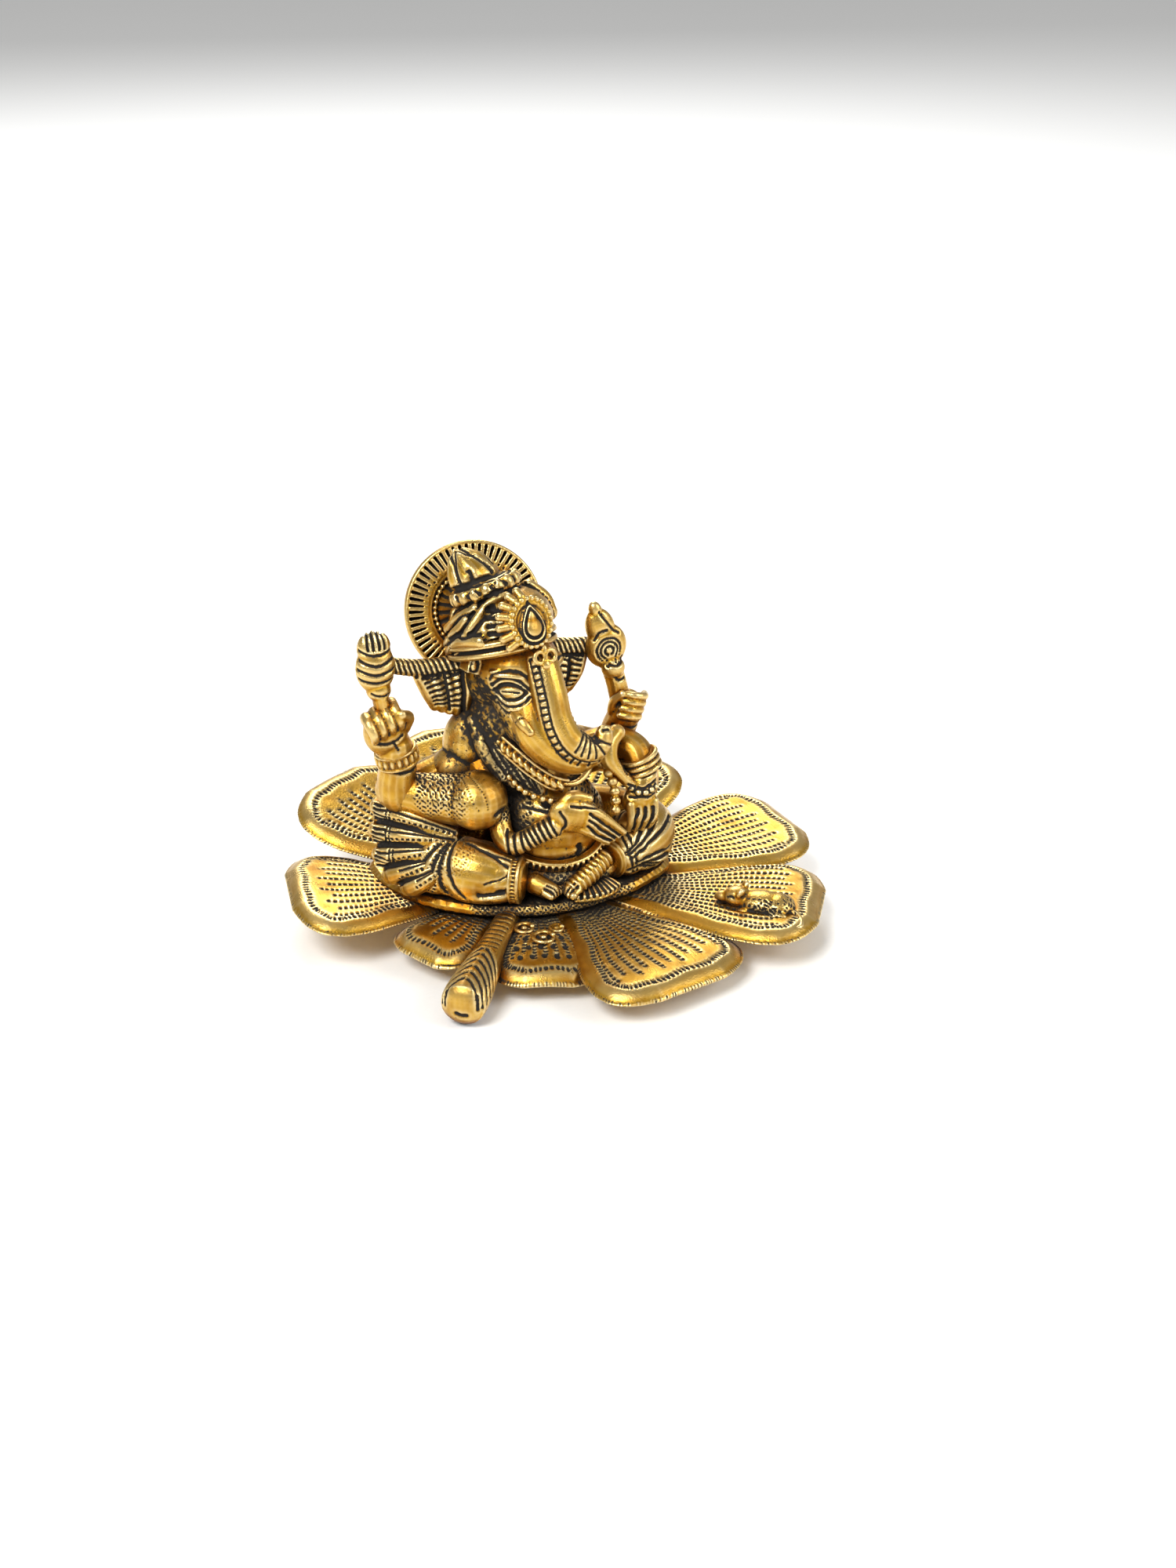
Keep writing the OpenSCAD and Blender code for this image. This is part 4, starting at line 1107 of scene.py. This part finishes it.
def trunk():
    path = [(-1.6, -7.6, 68.6, 4.0), (-1.2, -11, 65, 4.7), (-0.4, -14.6, 57.5, 5.0), (0.4, -16.6, 51, 5.0),
            (3, -17.9, 45.4, 5.0), (7, -18.7, 42.4, 4.6), (10.8, -18.9, 41.8, 3.8), (13.2, -18.7, 43.6, 2.9),
            (13.8, -18.4, 45.6, 2.3)]
    under = [(-3.6, -9, 55, 5.6), (-4.4, -11.6, 51, 6.0), (-3.6, -13.6, 46.6, 6.0), (0.6, -15.4, 41.6, 5.3),
            (6, -16.8, 39, 4.6), (10.4, -17.4, 39.6, 3.6)]
    s = Skin(fuse(tube(path, sides=8) + tube(under, sides=8), 0.28, 4))
    pts = spline(path, 0.8)
    d = np.gradient(pts[:, :3], axis=0)
    d /= np.linalg.norm(d, axis=1)[:, None]
    front = np.array((0.34, -0.93, 0.12))
    side = np.cross(d, front)
    side /= np.linalg.norm(side, axis=1)[:, None]
    out = np.cross(side, d)
    out *= np.sign(out @ front)[:, None]
    n = len(pts)

    def round_it(j, angles):
        return [pts[j, :3] + (side[j] * math.sin(b) + out[j] * math.cos(b)) * pts[j, 3] for b in angles]
    # a stitched seam down each side of the smooth ridge, ribs across the curled end
    for k in (-1, 1):
        s.line([round_it(j, [k * 0.85])[0] for j in range(5, n - 3)], width=0.42, depth=0.55, dark=1)
        s.line([round_it(j, [k * 1.32])[0] for j in range(5, int(n * 0.76))], width=0.34, depth=0.35, dark=0.8)
        for j in range(5, n - 3, 2):
            s.line(round_it(j, np.linspace(k * 0.85, k * 1.3, 4)), width=0.36, depth=0.55)
    for j in range(int(n * 0.74), n - 1, 2):
        s.line(round_it(j, np.linspace(-1.9, 0.5, 7)), width=0.36, depth=0.5)
    s.line([pts[-1, :3] + (-0.8, -1.4, 1.6), pts[-1, :3] + (0.9, -1.4, 1.7)], width=0.7, depth=0.8)
    # black painted shade and patina on the side of the trunk beside the cheek
    s.shade_and_patina_smudge((-9, -12, 55), 4, 0.7)
    s.shade_and_patina_smudge((-10, -12, 45), 4.5, 0.8)
    place(s.done(), "trunk")
    s = Skin(fuse(tube([(-8.6, -12, 52.6, 2.0), (-8.2, -15.8, 50.9, 1.8), (-7, -17.9, 49, 1.3)], sides=6), 0.22,
            2))
    s.line([(-9.8, -15, 51), (-8.2, -16, 52.4), (-6.4, -15.6, 51.6)], width=0.3, depth=0.35)
    place(s.done(), "tusk")


def ear(node, k):
    """A fan of cloth-like folds under a rolled edge wound with cord."""
    if k < 0:
        roll = [(-12, 3.6, 63.6, 2.7), (-18, 4.4, 62.4, 2.7), (-25, 5, 61.6, 2.6), (-32, 4.6, 62.6, 2.4),
                (-38.5, 4, 64.6, 2.3)]
        flap = [(-13, 5, 61), (-29.5, 4.6, 59.6), (-25.5, 5.6, 50.5), (-15, 6, 46)]
    else:
        roll = [(5, 4, 63, 2.7), (10, 4.6, 62.4, 2.6), (14, 4.6, 62, 2.5), (18.5, 4.2, 61.8, 2.4),
                (23, 3.6, 61.8, 2.3)]
        flap = [(6, 5, 61), (16.4, 4.8, 59.5), (13.2, 6, 50), (7, 6, 46)]
    parts = tube(roll, sides=6)
    a, b, c, d = (np.array(q, float) for q in flap)
    for t in np.linspace(0, 1, 6):
        up, dn = a + (b - a) * t, d + (c - d) * t
        parts += tube([(*up, 2.1), (*((up + dn) / 2 + (0, -0.9, 0)), 2.2), (*dn, 1.7)], sides=4)
    if k < 0:
        parts.append(slab((-17.2, -2.6, 64.6), (4.6, 4.4, 5.4), turn=(0, 24, 14)))
    s = Skin(fuse(parts, 0.29))
    pts = spline(roll, 0.5)
    for j in range(3, len(pts) - 2, 3):
        c0, r = pts[j, :3], pts[j, 3]
        s.line([c0 + (-0.8, 0.2, r), c0 + (0.1, -r, 0), c0 + (0.9, -0.6, -r)], width=0.38, depth=0.55)
    s.line([a + (0, -2.4, 0.4), (a + b) / 2 + (0, -2.4, 0), b + (0, -2, 0.2)], width=0.6, depth=0.7)
    # combed short ribs, in two upright bands
    for t0, t1 in ((0.36, 0.6), (0.7, 0.98)):
        for i in range(6):
            h = 0.08 + i * 0.155
            q0 = (a + (b - a) * t0) * (1 - h) + (d + (c - d) * t0) * h
            q1 = (a + (b - a) * t1) * (1 - h) + (d + (c - d) * t1) * h
            s.line([q0 + (0, -2.6, 0.4), q1 + (0, -2.4, -0.4)], width=0.4, depth=0.7)
    for t in (0.3, 0.65):
        q0, q1 = a + (b - a) * t, d + (c - d) * t
        s.line([q0 + (0, -2.6, 0), (q0 + q1) / 2 + (0, -3, 0), q1 + (0, -2, 0)], width=0.55, depth=0.7)
    if k < 0:
        w = circle(20)
        at = FIG.spot((-17.6, -5, 64.6), (90, 0, 14))
        s.line(np.stack([1.3 * np.cos(w), 2.0 * np.sin(w), 0 * w], 1), width=0.42, depth=0.7, at=at)
    place(s.done(), node)


CROWN = FIG.spot((-4.3, -1.2, 60.74), (-19, -16, 0))


def brow():
    round_head = FIG.spot((-7.4, 0.8, 65.4), (-17, -5, 0))
    parts = [lathe([(10, 0), (14.0, 0), (15.0, 0.7), (14.9, 1.6), (14.2, 2.1), (14.3, 2.5), (15.2, 3.1),
            (15.1, 4.0), (14.2, 4.6), (10, 4.6), (10, 0)], round_head, 110)]
    s = Skin(fuse(parts, 0.28, 2))
    a = circle(90)
    s.line(pole(14.4, a, 2.3), width=0.42, depth=0.5, at=round_head)
    place(s.done(), "brow_band")
    at = FIG.spot((-1.6, -15.2, 68.6), (76, 0, 10))
    rings = []
    for k in (-1, 1):
        b = circle(16, turns=0.95)
        rings += tube(np.stack([k * (1.6 + 1.5 * np.cos(b)), 1.5 * np.sin(b), 0 * b, 0.66 + 0 * b], 1), at)
    rings += [blob((0, -2.2, 0.2), (1.2, 1.3, 0.9), at), blob((0, 1.8, 0), (0.9, 1.4, 0.8), at)]
    place(tone(fuse(rings, 0.22, 1)), "brow_curl")


def crown():
    prof = [(0, 7), (12.6, 7.2), (13.9, 8.6), (14.6, 11), (14.2, 14), (12.6, 17), (10.2, 19.2), (8.6, 20),
            (8.4, 20.6), (9, 21.2), (9.2, 22.8), (8.8, 24.6), (6.8, 25.4), (6.2, 25.6), (0, 25.6)]
    cap = CROWN.spot((-1.2, 0, 24), (0, -14, 0))
    parts = [lathe(prof, CROWN, 90), lathe([(0, 0), (6.4, 0), (6.6, 2.2), (6.1, 4.6), (4.7, 7.4), (2.6, 10),
            (1.0, 11.6), (0, 12)], cap, 60)]
    for i in range(16):      # broad flutes of the collar
        a = (i + 0.5) * math.pi / 8
        parts.append(blob(pole(8.5, a, 22.8), (1.7, 1.75, 2.3), CROWN, (0, 0, math.degrees(a)), 12))
    for i in range(4):       # pointed leaves of the cap
        a = math.radians(-95 + i * 90)
        parts += tube([pole(4.4, a, 1.6, 2.6), pole(4.0, a, 5, 2.5), pole(1.7, a, 9.6, 1.5),
                pole(0.4, a, 11.4, 0.6)], cap)

    def arc(*rows):
        """Rows of turn in degrees and height, laid on the dome."""
        rows = np.array(rows, float)
        r = np.interp(rows[:, 1], [8, 11, 14, 17, 19.2, 20.4], [13.8, 14.6, 14.2, 12.6, 10.4, 9.6])
        a = np.radians(rows[:, 0])
        return pole(r, a, rows[:, 1])

    def roll(w, *rows):
        p = arc(*rows)
        return tube(np.hstack([p, np.full((len(p), 1), w)]), CROWN)
    # a raised arch frames the smooth front plate; two rolls and a lobe lie on its right
    edge = ((-168, 10.4), (-144, 14), (-120, 18.2), (-102, 19.8), (-84, 20), (-76, 19.8))
    parts += roll(1.3, *edge) + roll(1.6, (-190, 16.4), (-160, 18.4), (-128, 19.6)) + roll(1.7, (-192, 12.6),
            (-168, 14.4), (-142, 17.6))
    parts += roll(1.9, (-190, 10.6), (-166, 12.6), (-146, 12.8), (-128, 11.6))
    for i in range(4):       # leaves folded over the back of the dome
        parts += roll(2.4, (8 + i * 42, 10), (8 + i * 42, 14), (8 + i * 42, 18.2))
    s = Skin(fuse(parts, 0.28))
    for w in (-1.9, 1.9):
        s.line(arc(*[(a, z + w) for a, z in edge]), width=0.5, depth=0.7, at=CROWN)
    s.lines((0.6, 0.8, arc((-192, 14.6), (-160, 16.6), (-128, 18.8))),
            (0.6, 0.8, arc((-192, 17.8), (-160, 19.6), (-130, 20.2))), at=CROWN)
    for off in (-1.5, 0.2, 1.8):
        s.line(arc((-196, 10 + off), (-166, 12.6 + off), (-146, 12.8 + off), (-126, 11.4 + off)), width=0.5,
                depth=0.7, at=CROWN)
    for i in range(4):
        for w, dots in ((-15, 0), (15, 0), (-7, 1.5), (7, 1.5)):
            s.line(arc((8 + i * 42 + w * 0.5, 9), (8 + i * 42 + w, 14), (8 + i * 42 + w * 0.4, 19)),
                    width=0.4 if dots else 0.6, depth=0.3 if dots else 0.7, dots=dots, at=CROWN)
    for i in range(5):       # scallops beside the jewel
        for turn, up in ((-100, 0), (-110, 0.9)):
            s.line(arc((turn + i * 1.5, 9.2 + i * 2.1 + up), (turn - 7 + i * 1.5, 9.7 + i * 2.1 + up)),
                    width=0.9, depth=1.3, at=CROWN)
    for i in range(16):      # clefts between the flutes
        a = i * math.pi / 8
        s.line([pole(10.4, a, 20.8), pole(10.4, a, 24.8)], width=0.4, depth=0.5, at=CROWN)
    for i in range(4):
        a = math.radians(-95 + i * 90)
        for w in (-0.75, 0.75):
            s.line([(6.8 * math.cos(a + w), 6.8 * math.sin(a + w), 1.6),
                    (5 * math.cos(a + w), 5 * math.sin(a + w), 7), pole(1.2, a, 11.6)], width=0.5, depth=0.7,
                    at=cap)
        s.line([(7 * math.cos(a - 0.2), 7 * math.sin(a - 0.2), 3.4), (6 * math.cos(a - 0.1),
                6 * math.sin(a - 0.1), 5.4)], width=0.9, depth=1.0, at=cap)
    a = circle(60)
    for r, z, w in ((9, 20.4, 0.6), (8, 25.4, 0.6), (6.6, 26, 0.7)):
        s.line(pole(r, a, z), width=w, depth=0.7, at=CROWN)
    # black painted shade and patina on one side of the crown
    s.shade_and_patina_smudge((-13, 4, 12), 6, 0.5, at=CROWN)
    place(s.done(), "crown")


def crown_jewel():
    """A drop-shaped stone in a beaded setting, with short rays on its right."""
    at = FIG.spot((-4.8, -12, 77.4), (70, 0, 15))
    parts = [lathe([(0, -3.5), (6.0, -3.2), (6.2, 0.6), (5.8, 1.4), (4.9, 1.5), (4.4, 1.0), (0, 1.0)], at, 60)]
    for i in range(24):
        a = i * math.pi / 12
        parts.append(blob((6.1 * math.cos(a), 6.3 * math.sin(a), 1.1), 0.85, at, seg=10))
    for i in range(7):
        a = math.radians(98 + i * 20)
        parts += tube([(6.8 * math.cos(a), 7 * math.sin(a), 0.2, 1.25), pole(8.6, a, -0.9, 1.15)], at)
    t = circle(40)
    drop = np.stack([4.2 * np.sin(t) * np.sin(t / 2), 4.7 * np.cos(t) - 0.2, 1.6 + 0 * t, 0.6 + 0 * t], 1)
    parts += tube(drop, at, ends=False)
    parts += [blob((0, -1.5, 1.2), (3.0, 2.9, 1.7), at), blob((0, 1.1, 1.2), (1.7, 2.9, 1.3), at)]
    s = Skin(fuse(parts, 0.24, 2, 0.5))
    for k in (3.4, 5.0):
        s.line(np.stack([k * np.sin(t) * np.sin(t / 2), (k + 0.5) * np.cos(t) - 0.2, 1.8 + 0 * t], 1),
                width=0.36, depth=0.5, at=at)
    place(s.done(), "crown_jewel")


def halo():
    at = FIG.spot((-10.6, 15, 72.3), (72, 0, -8))
    r = 19.0
    prof = [(0, -1.5), (r * 0.7, -1.6), (r - 0.6, -1.4), (r, -0.7), (r, 0.9), (r - 0.4, 1.5), (r - 1.0, 1.5),
            (r - 1.3, 0.0), (r * 0.66, 0.0), (r * 0.655, 1.5), (r * 0.615, 1.5), (r * 0.6, 0.1),
            (r * 0.5, -0.2), (r * 0.3, -0.4), (0, -0.4)]
    parts = [lathe(prof, at, 150)]
    n = 60
    for i in range(n):       # radial bars on the rim
        a = i * 2 * math.pi / n
        parts.append(slab(pole(r * 0.8, a, 0.7), (r * 0.27, 1.0, 1.9), at, (0, 0, math.degrees(a))))
    for i in range(44):      # ring of beads inside
        a = i * 2 * math.pi / 44
        parts.append(blob(pole(r * 0.56, a, 0.4), 0.75, at, seg=8))
    s = Skin(fuse(parts, 0.23, 1, 0.4))
    for i in range(n):
        a = (i + 0.5) * 2 * math.pi / n
        s.line([pole(r * 0.7, a, 0.3), pole(r * 0.91, a, 0.3)], width=0.3, depth=0.25, at=at)
    for k in range(24):
        a = k * math.pi / 12
        s.line([pole(r * 0.5, a, 0), pole(r * 0.25, a, 0)], width=0.5, depth=0.3, at=at)
    place(s.done(), "halo")


def necklace():
    path = [(-11.5, -6.5, 42), (-9, -10.8, 39.8), (-4.5, -14.2, 35.6), (0.8, -16.2, 32), (7, -16, 30.6),
            (12.4, -12.8, 33), (15.6, -6, 37)]
    pts = spline(path, 0.5)
    parts = []
    up = np.array((0.3, -0.35, 0.88))
    for k in (-1, 1):
        parts += tube([(*(q + up * k * 2.0), 0.5) for q in pts[:int(len(pts) * 0.56):3]])
    for j in range(3, int(len(pts) * 0.52), 4):
        d = pts[j + 1] - pts[j - 1]
        yaw = math.degrees(math.atan2(d[1], d[0]))
        parts.append(blob(pts[j] - (0, 0.3, 0), (0.95, 1.4, 1.8), turn=(-20, -28, yaw), seg=14))
    low = [(-11, -8, 34), (-7, -13.4, 29.6), (-1, -17, 27.6), (3, -18, 27.4)]
    for q in spline(low, 1.9):
        parts.append(blob(q, 0.95, seg=12))
    parts += tube([(*(np.array(q) + (0, 1, 0)), 0.9) for q in path])
    parts += tube([(*(np.array(q) + (0, 0.8, 0)), 0.6) for q in low])
    place(tone(fuse(parts, 0.25, 1, 0.5)), "necklace")
    parts = []
    for q in spline([(15.2, -9, 35.4), (17.4, -13, 31), (18.2, -15.6, 26.4), (17.6, -17.4, 21.6)], 2.5):
        parts.append(blob(q, (1.55, 1.4, 1.45), seg=14))
    parts += tube([(15.2, -8.4, 35.6, 0.7), (17.4, -12.2, 31, 0.7), (18.2, -14.8, 26.4, 0.7),
            (17.4, -16.8, 21, 0.7)])
    place(tone(fuse(parts, 0.25, 1, 0.5)), "bead_string")


# ---------------------------------------------------------------- settings

class StatueSizes(bpy.types.PropertyGroup):
    """Sizes of the chased detail, in millimetres."""
    petal_grain: bpy.props.FloatProperty(
        name="Petal grain", description="Distance between points on a petal, in millimetres", default=0.42,
                min=0.25, max=2)
    petal_rays: bpy.props.IntProperty(
        name="Petal rays", description="Rows of punched dots on a wide petal", default=11, min=3, max=20)
    petal_border: bpy.props.FloatProperty(
        name="Petal border", description="Distance of the furrow from a petal's rim, in millimetres",
                default=4.2, min=1, max=8)


class StatueFinish(bpy.types.PropertyGroup):
    """Colours and polish of the antiqued gold."""
    gold: bpy.props.FloatVectorProperty(
        name="Gold", description="Plain gold plate", subtype="COLOR", size=4, min=0, max=1,
                default=linear("#CB9D38"))
    # raised places rubbed bright; the pale colour also paints a highlight there
    rubbed_and_highlight: bpy.props.FloatVectorProperty(
        name="Rubbed gold", description="Raised places rubbed bright", subtype="COLOR", size=4, min=0, max=1,
        default=linear("#EFDCA6"))
    # orange-brown wash, and also the colour of painted shade where the surface is occluded
    washed_and_shaded: bpy.props.FloatVectorProperty(
        name="Wash", description="Orange-brown wash left beside the hollows", subtype="COLOR", size=4, min=0,
                max=1,
        default=linear("#955F11"))
    # black patina in the hollows, and also the colour of painted shade where the surface is occluded
    patina_and_shade: bpy.props.FloatVectorProperty(
        name="Patina", description="Black patina in the hollows", subtype="COLOR", size=4, min=0, max=1,
        default=linear("#150D03"))
    polish: bpy.props.FloatProperty(
        name="Polish", description="Roughness of the rubbed gold", subtype="FACTOR", default=0.27, min=0, max=1)


class StatueStage(bpy.types.PropertyGroup):
    """The view and the light."""
    azimuth: bpy.props.FloatProperty(
        name="Azimuth", description="Turn of the camera around the statue", subtype="ANGLE",
                default=math.radians(-22))
    elevation: bpy.props.FloatProperty(
        name="Elevation", description="Height angle of the camera", subtype="ANGLE", default=math.radians(25))
    distance: bpy.props.FloatProperty(
        name="Distance", description="Camera to statue", unit="LENGTH", default=0.62)
    lens: bpy.props.FloatProperty(
        name="Lens", description="Focal length on a 36 mm frame, in millimetres", default=50.67)


class Statue(bpy.types.PropertyGroup):
    """All the settings of the statue."""
    sizes: bpy.props.PointerProperty(name="Sizes", description="Chased detail", type=StatueSizes)
    finish: bpy.props.PointerProperty(name="Finish", description="Antiqued gold", type=StatueFinish)
    stage: bpy.props.PointerProperty(name="Stage", description="View and light", type=StatueStage)


# ---------------------------------------------------------------- operators

def made(*makers):
    """Makes each piece in turn, for an operator's result."""
    for make in makers:
        make()
    return {"FINISHED"}


class STATUE_OT_metals(bpy.types.Operator):
    """Make the metals and give them to the solids that stay"""
    bl_idname = "statue.metals"
    bl_label = "Metals"

    def execute(self, context):
        finish = context.scene.statue.finish
        gold, steel = antique_gold(finish), fixing_steel(finish)
        for name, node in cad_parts.items():
            metal = steel if name.startswith("fixing") else gold
            for slot in node.material_slots:
                slot.material = metal
        return {"FINISHED"}


class STATUE_OT_petals(bpy.types.Operator):
    """Seven punched petals"""
    bl_idname = "statue.petals"
    bl_label = "Petals"

    def execute(self, context):
        sizes = context.scene.statue.sizes
        for i in range(7):
            petal(f"petal_{i + 1}", sizes.petal_rays + (i % 2), sizes.petal_border, 3 + i * 7, sizes)
        return {"FINISHED"}


class STATUE_OT_leaves(bpy.types.Operator):
    """Two small leaves beside the stem, with curled tendrils"""
    bl_idname = "statue.leaves"
    bl_label = "Leaves"

    def execute(self, context):
        sizes = context.scene.statue.sizes
        for i, node in enumerate(("leaf_left", "leaf_right")):
            leaf = petal(node, 6 + i, 3.2, 60 + i * 5, sizes, 18 * i)
        leaf_curls(leaf)
        return {"FINISHED"}


class STATUE_OT_stem(bpy.types.Operator):
    """The cut stem with chevron grooves"""
    bl_idname = "statue.stem"
    bl_label = "Stem"

    def execute(self, context):
        return made(stem)


class STATUE_OT_mouse(bpy.types.Operator):
    """The small mouse on the front petal"""
    bl_idname = "statue.mouse"
    bl_label = "Mouse"

    def execute(self, context):
        return made(mouse)


class STATUE_OT_body(bpy.types.Operator):
    """Seat plate, torso and belly band"""
    bl_idname = "statue.body"
    bl_label = "Body"

    def execute(self, context):
        return made(seat, body, belly_band)


class STATUE_OT_legs(bpy.types.Operator):
    """Folded legs, feet, ankle hems and the pleated fan between them"""
    bl_idname = "statue.legs"
    bl_label = "Legs"

    def execute(self, context):
        made(right_leg, left_leg, cuffs, hem_fan)
        foot("right_foot", [(-6.5, -19, 4.6, 3.0), (-5, -20.6, 4, 2.8), (-3.2, -22.2, 3.2, 2.5)], 1.35, False)
        foot("left_foot", [(14.5, -16.6, 7, 2.7), (8, -20.8, 5, 2.6), (2.4, -23, 3, 2.3)], 1.25, True)
        return {"FINISHED"}


class STATUE_OT_cloth(bpy.types.Operator):
    """Pleated hip cloth and the round bolster"""
    bl_idname = "statue.cloth"
    bl_label = "Hip cloth"

    def execute(self, context):
        return made(hip_cloth, bolster)


class STATUE_OT_arms(bpy.types.Operator):
    """Four arms with their hands, bangle and armlet"""
    bl_idname = "statue.arms"
    bl_label = "Arms"

    def execute(self, context):
        return made(right_rear_arm, right_bangle, left_rear_arm, right_front_arm, left_front_arm, left_armlet)


class STATUE_OT_attributes(bpy.types.Operator):
    """What the raised hands hold"""
    bl_idname = "statue.attributes"
    bl_label = "Attributes"

    def execute(self, context):
        return made(axe, conch)


class STATUE_OT_head(bpy.types.Operator):
    """Head, trunk, tusk stub and both ears"""
    bl_idname = "statue.head"
    bl_label = "Head"

    def execute(self, context):
        made(head, trunk)
        ear("right_ear", -1)
        ear("left_ear", 1)
        return {"FINISHED"}


class STATUE_OT_crown(bpy.types.Operator):
    """Brow band, crown, jewel and the disc behind them"""
    bl_idname = "statue.crown"
    bl_label = "Crown"

    def execute(self, context):
        return made(brow, crown, crown_jewel, halo)


class STATUE_OT_necklace(bpy.types.Operator):
    """Collar of blocks and the hanging beads"""
    bl_idname = "statue.necklace"
    bl_label = "Necklace"

    def execute(self, context):
        return made(necklace)


class STATUE_OT_stage(bpy.types.Operator):
    """White floor, soft boxes and the camera"""
    bl_idname = "statue.stage"
    bl_label = "Stage"

    def execute(self, context):
        view = context.scene.statue.stage
        low, high = (np.array(v) for v in CAD_BOX)
        bpy.ops.object.select_all(action="DESELECT")
        bpy.ops.mesh.primitive_circle_add(vertices=96, radius=6, fill_type="NGON",
                location=(0, 0, float(low[2])))
        floor = settle(bpy.context.object)
        floor.name = "floor"
        paper, t = new_metal("white_paper_sweep")
        where = put(t, "TexCoord").outputs["Object"]
        grain = put(t, "TexNoise", None, {"Vector": where, "Scale": 900.0}).outputs["Fac"]
        tint = put(t, "Mix", {"data_type": "RGBA"}, {0: grain, 6: linear("#F6F6F4"),
                7: linear("#FBFBFA")}).outputs[2]
        face = put(t, "BsdfPrincipled", None, {"Base Color": tint, "Roughness": 0.9})
        put(t, "OutputMaterial", None, {"Surface": face.outputs[0]})
        floor.data.materials.append(paper)
        world = bpy.data.worlds.new("studio")
        context.scene.world = world
        world.use_nodes = True
        world.node_tree.nodes["Background"].inputs[0].default_value = linear("#FFFFFF")
        world.node_tree.nodes["Background"].inputs[1].default_value = 0.42
        context.scene.view_settings.view_transform = "Standard"
        middle = Matrix.Translation(((low + high) / 2).tolist()).translation
        for name, place_at, size, power in (("key", (-0.9, -0.7, 1.3), 0.7, 26), ("fill", (1.1, -0.9, 0.9), 0.9,
                12), ("rear", (0.3, 1.2, 1.1), 0.8, 14)):
            lamp = bpy.data.lights.new(name, "AREA")
            lamp.size, lamp.energy = size, power
            o = bpy.data.objects.new(name, lamp)
            context.scene.collection.objects.link(o)
            o.location = place_at
            o.rotation_euler = (middle - o.location).to_track_quat("-Z", "Y").to_euler()
        a, e = view.azimuth, view.elevation
        back = np.array((math.sin(a) * math.cos(e), -math.cos(a) * math.cos(e), math.sin(e)))
        target = np.array((18.5, 4.6, 35)) * MM
        lens = bpy.data.cameras.new("camera")
        lens.lens, lens.sensor_width = view.lens, 36
        cam = bpy.data.objects.new("camera", lens)
        context.scene.collection.objects.link(cam)
        cam.location = target + back * view.distance
        cam.rotation_euler = Matrix.Identity(3).to_euler()
        look = -cam.location + Matrix.Translation(target.tolist()).translation
        cam.rotation_euler = look.to_track_quat("-Z", "Y").to_euler()
        context.scene.camera = cam
        return {"FINISHED"}


OPERATORS = (STATUE_OT_metals, STATUE_OT_petals, STATUE_OT_leaves, STATUE_OT_stem, STATUE_OT_mouse,
        STATUE_OT_body, STATUE_OT_legs, STATUE_OT_cloth, STATUE_OT_arms, STATUE_OT_attributes, STATUE_OT_head,
        STATUE_OT_crown, STATUE_OT_necklace, STATUE_OT_stage)


class STATUE_PT_panel(bpy.types.Panel):
    """Lists the statue's steps and settings"""
    bl_label = "Gold statue"
    bl_idname = "STATUE_PT_panel"
    bl_space_type = "VIEW_3D"
    bl_region_type = "UI"
    bl_category = "Statue"

    def draw(self, context):
        statue = context.scene.statue
        for group, names in ((statue.sizes, ("petal_grain", "petal_rays", "petal_border")),
                (statue.finish, ("gold", "rubbed_and_highlight", "washed_and_shaded", "patina_and_shade", "polish")),
                (statue.stage, ("azimuth", "elevation", "distance", "lens"))):
            for name in names:
                self.layout.prop(group, name)
        for op in OPERATORS:
            self.layout.operator(op.bl_idname)


CLASSES = (StatueSizes, StatueFinish, StatueStage, Statue, *OPERATORS, STATUE_PT_panel)


def register():
    for c in CLASSES:
        bpy.utils.register_class(c)
    bpy.types.Scene.statue = bpy.props.PointerProperty(name="Statue", description="The statue's settings",
            type=Statue)


def unregister():
    del bpy.types.Scene.statue
    for c in reversed(CLASSES):
        bpy.utils.unregister_class(c)


def main():
    register()
    for op in OPERATORS:
        getattr(bpy.ops.statue, op.bl_idname.split(".")[1])()


if __name__ == "__main__":
    main()
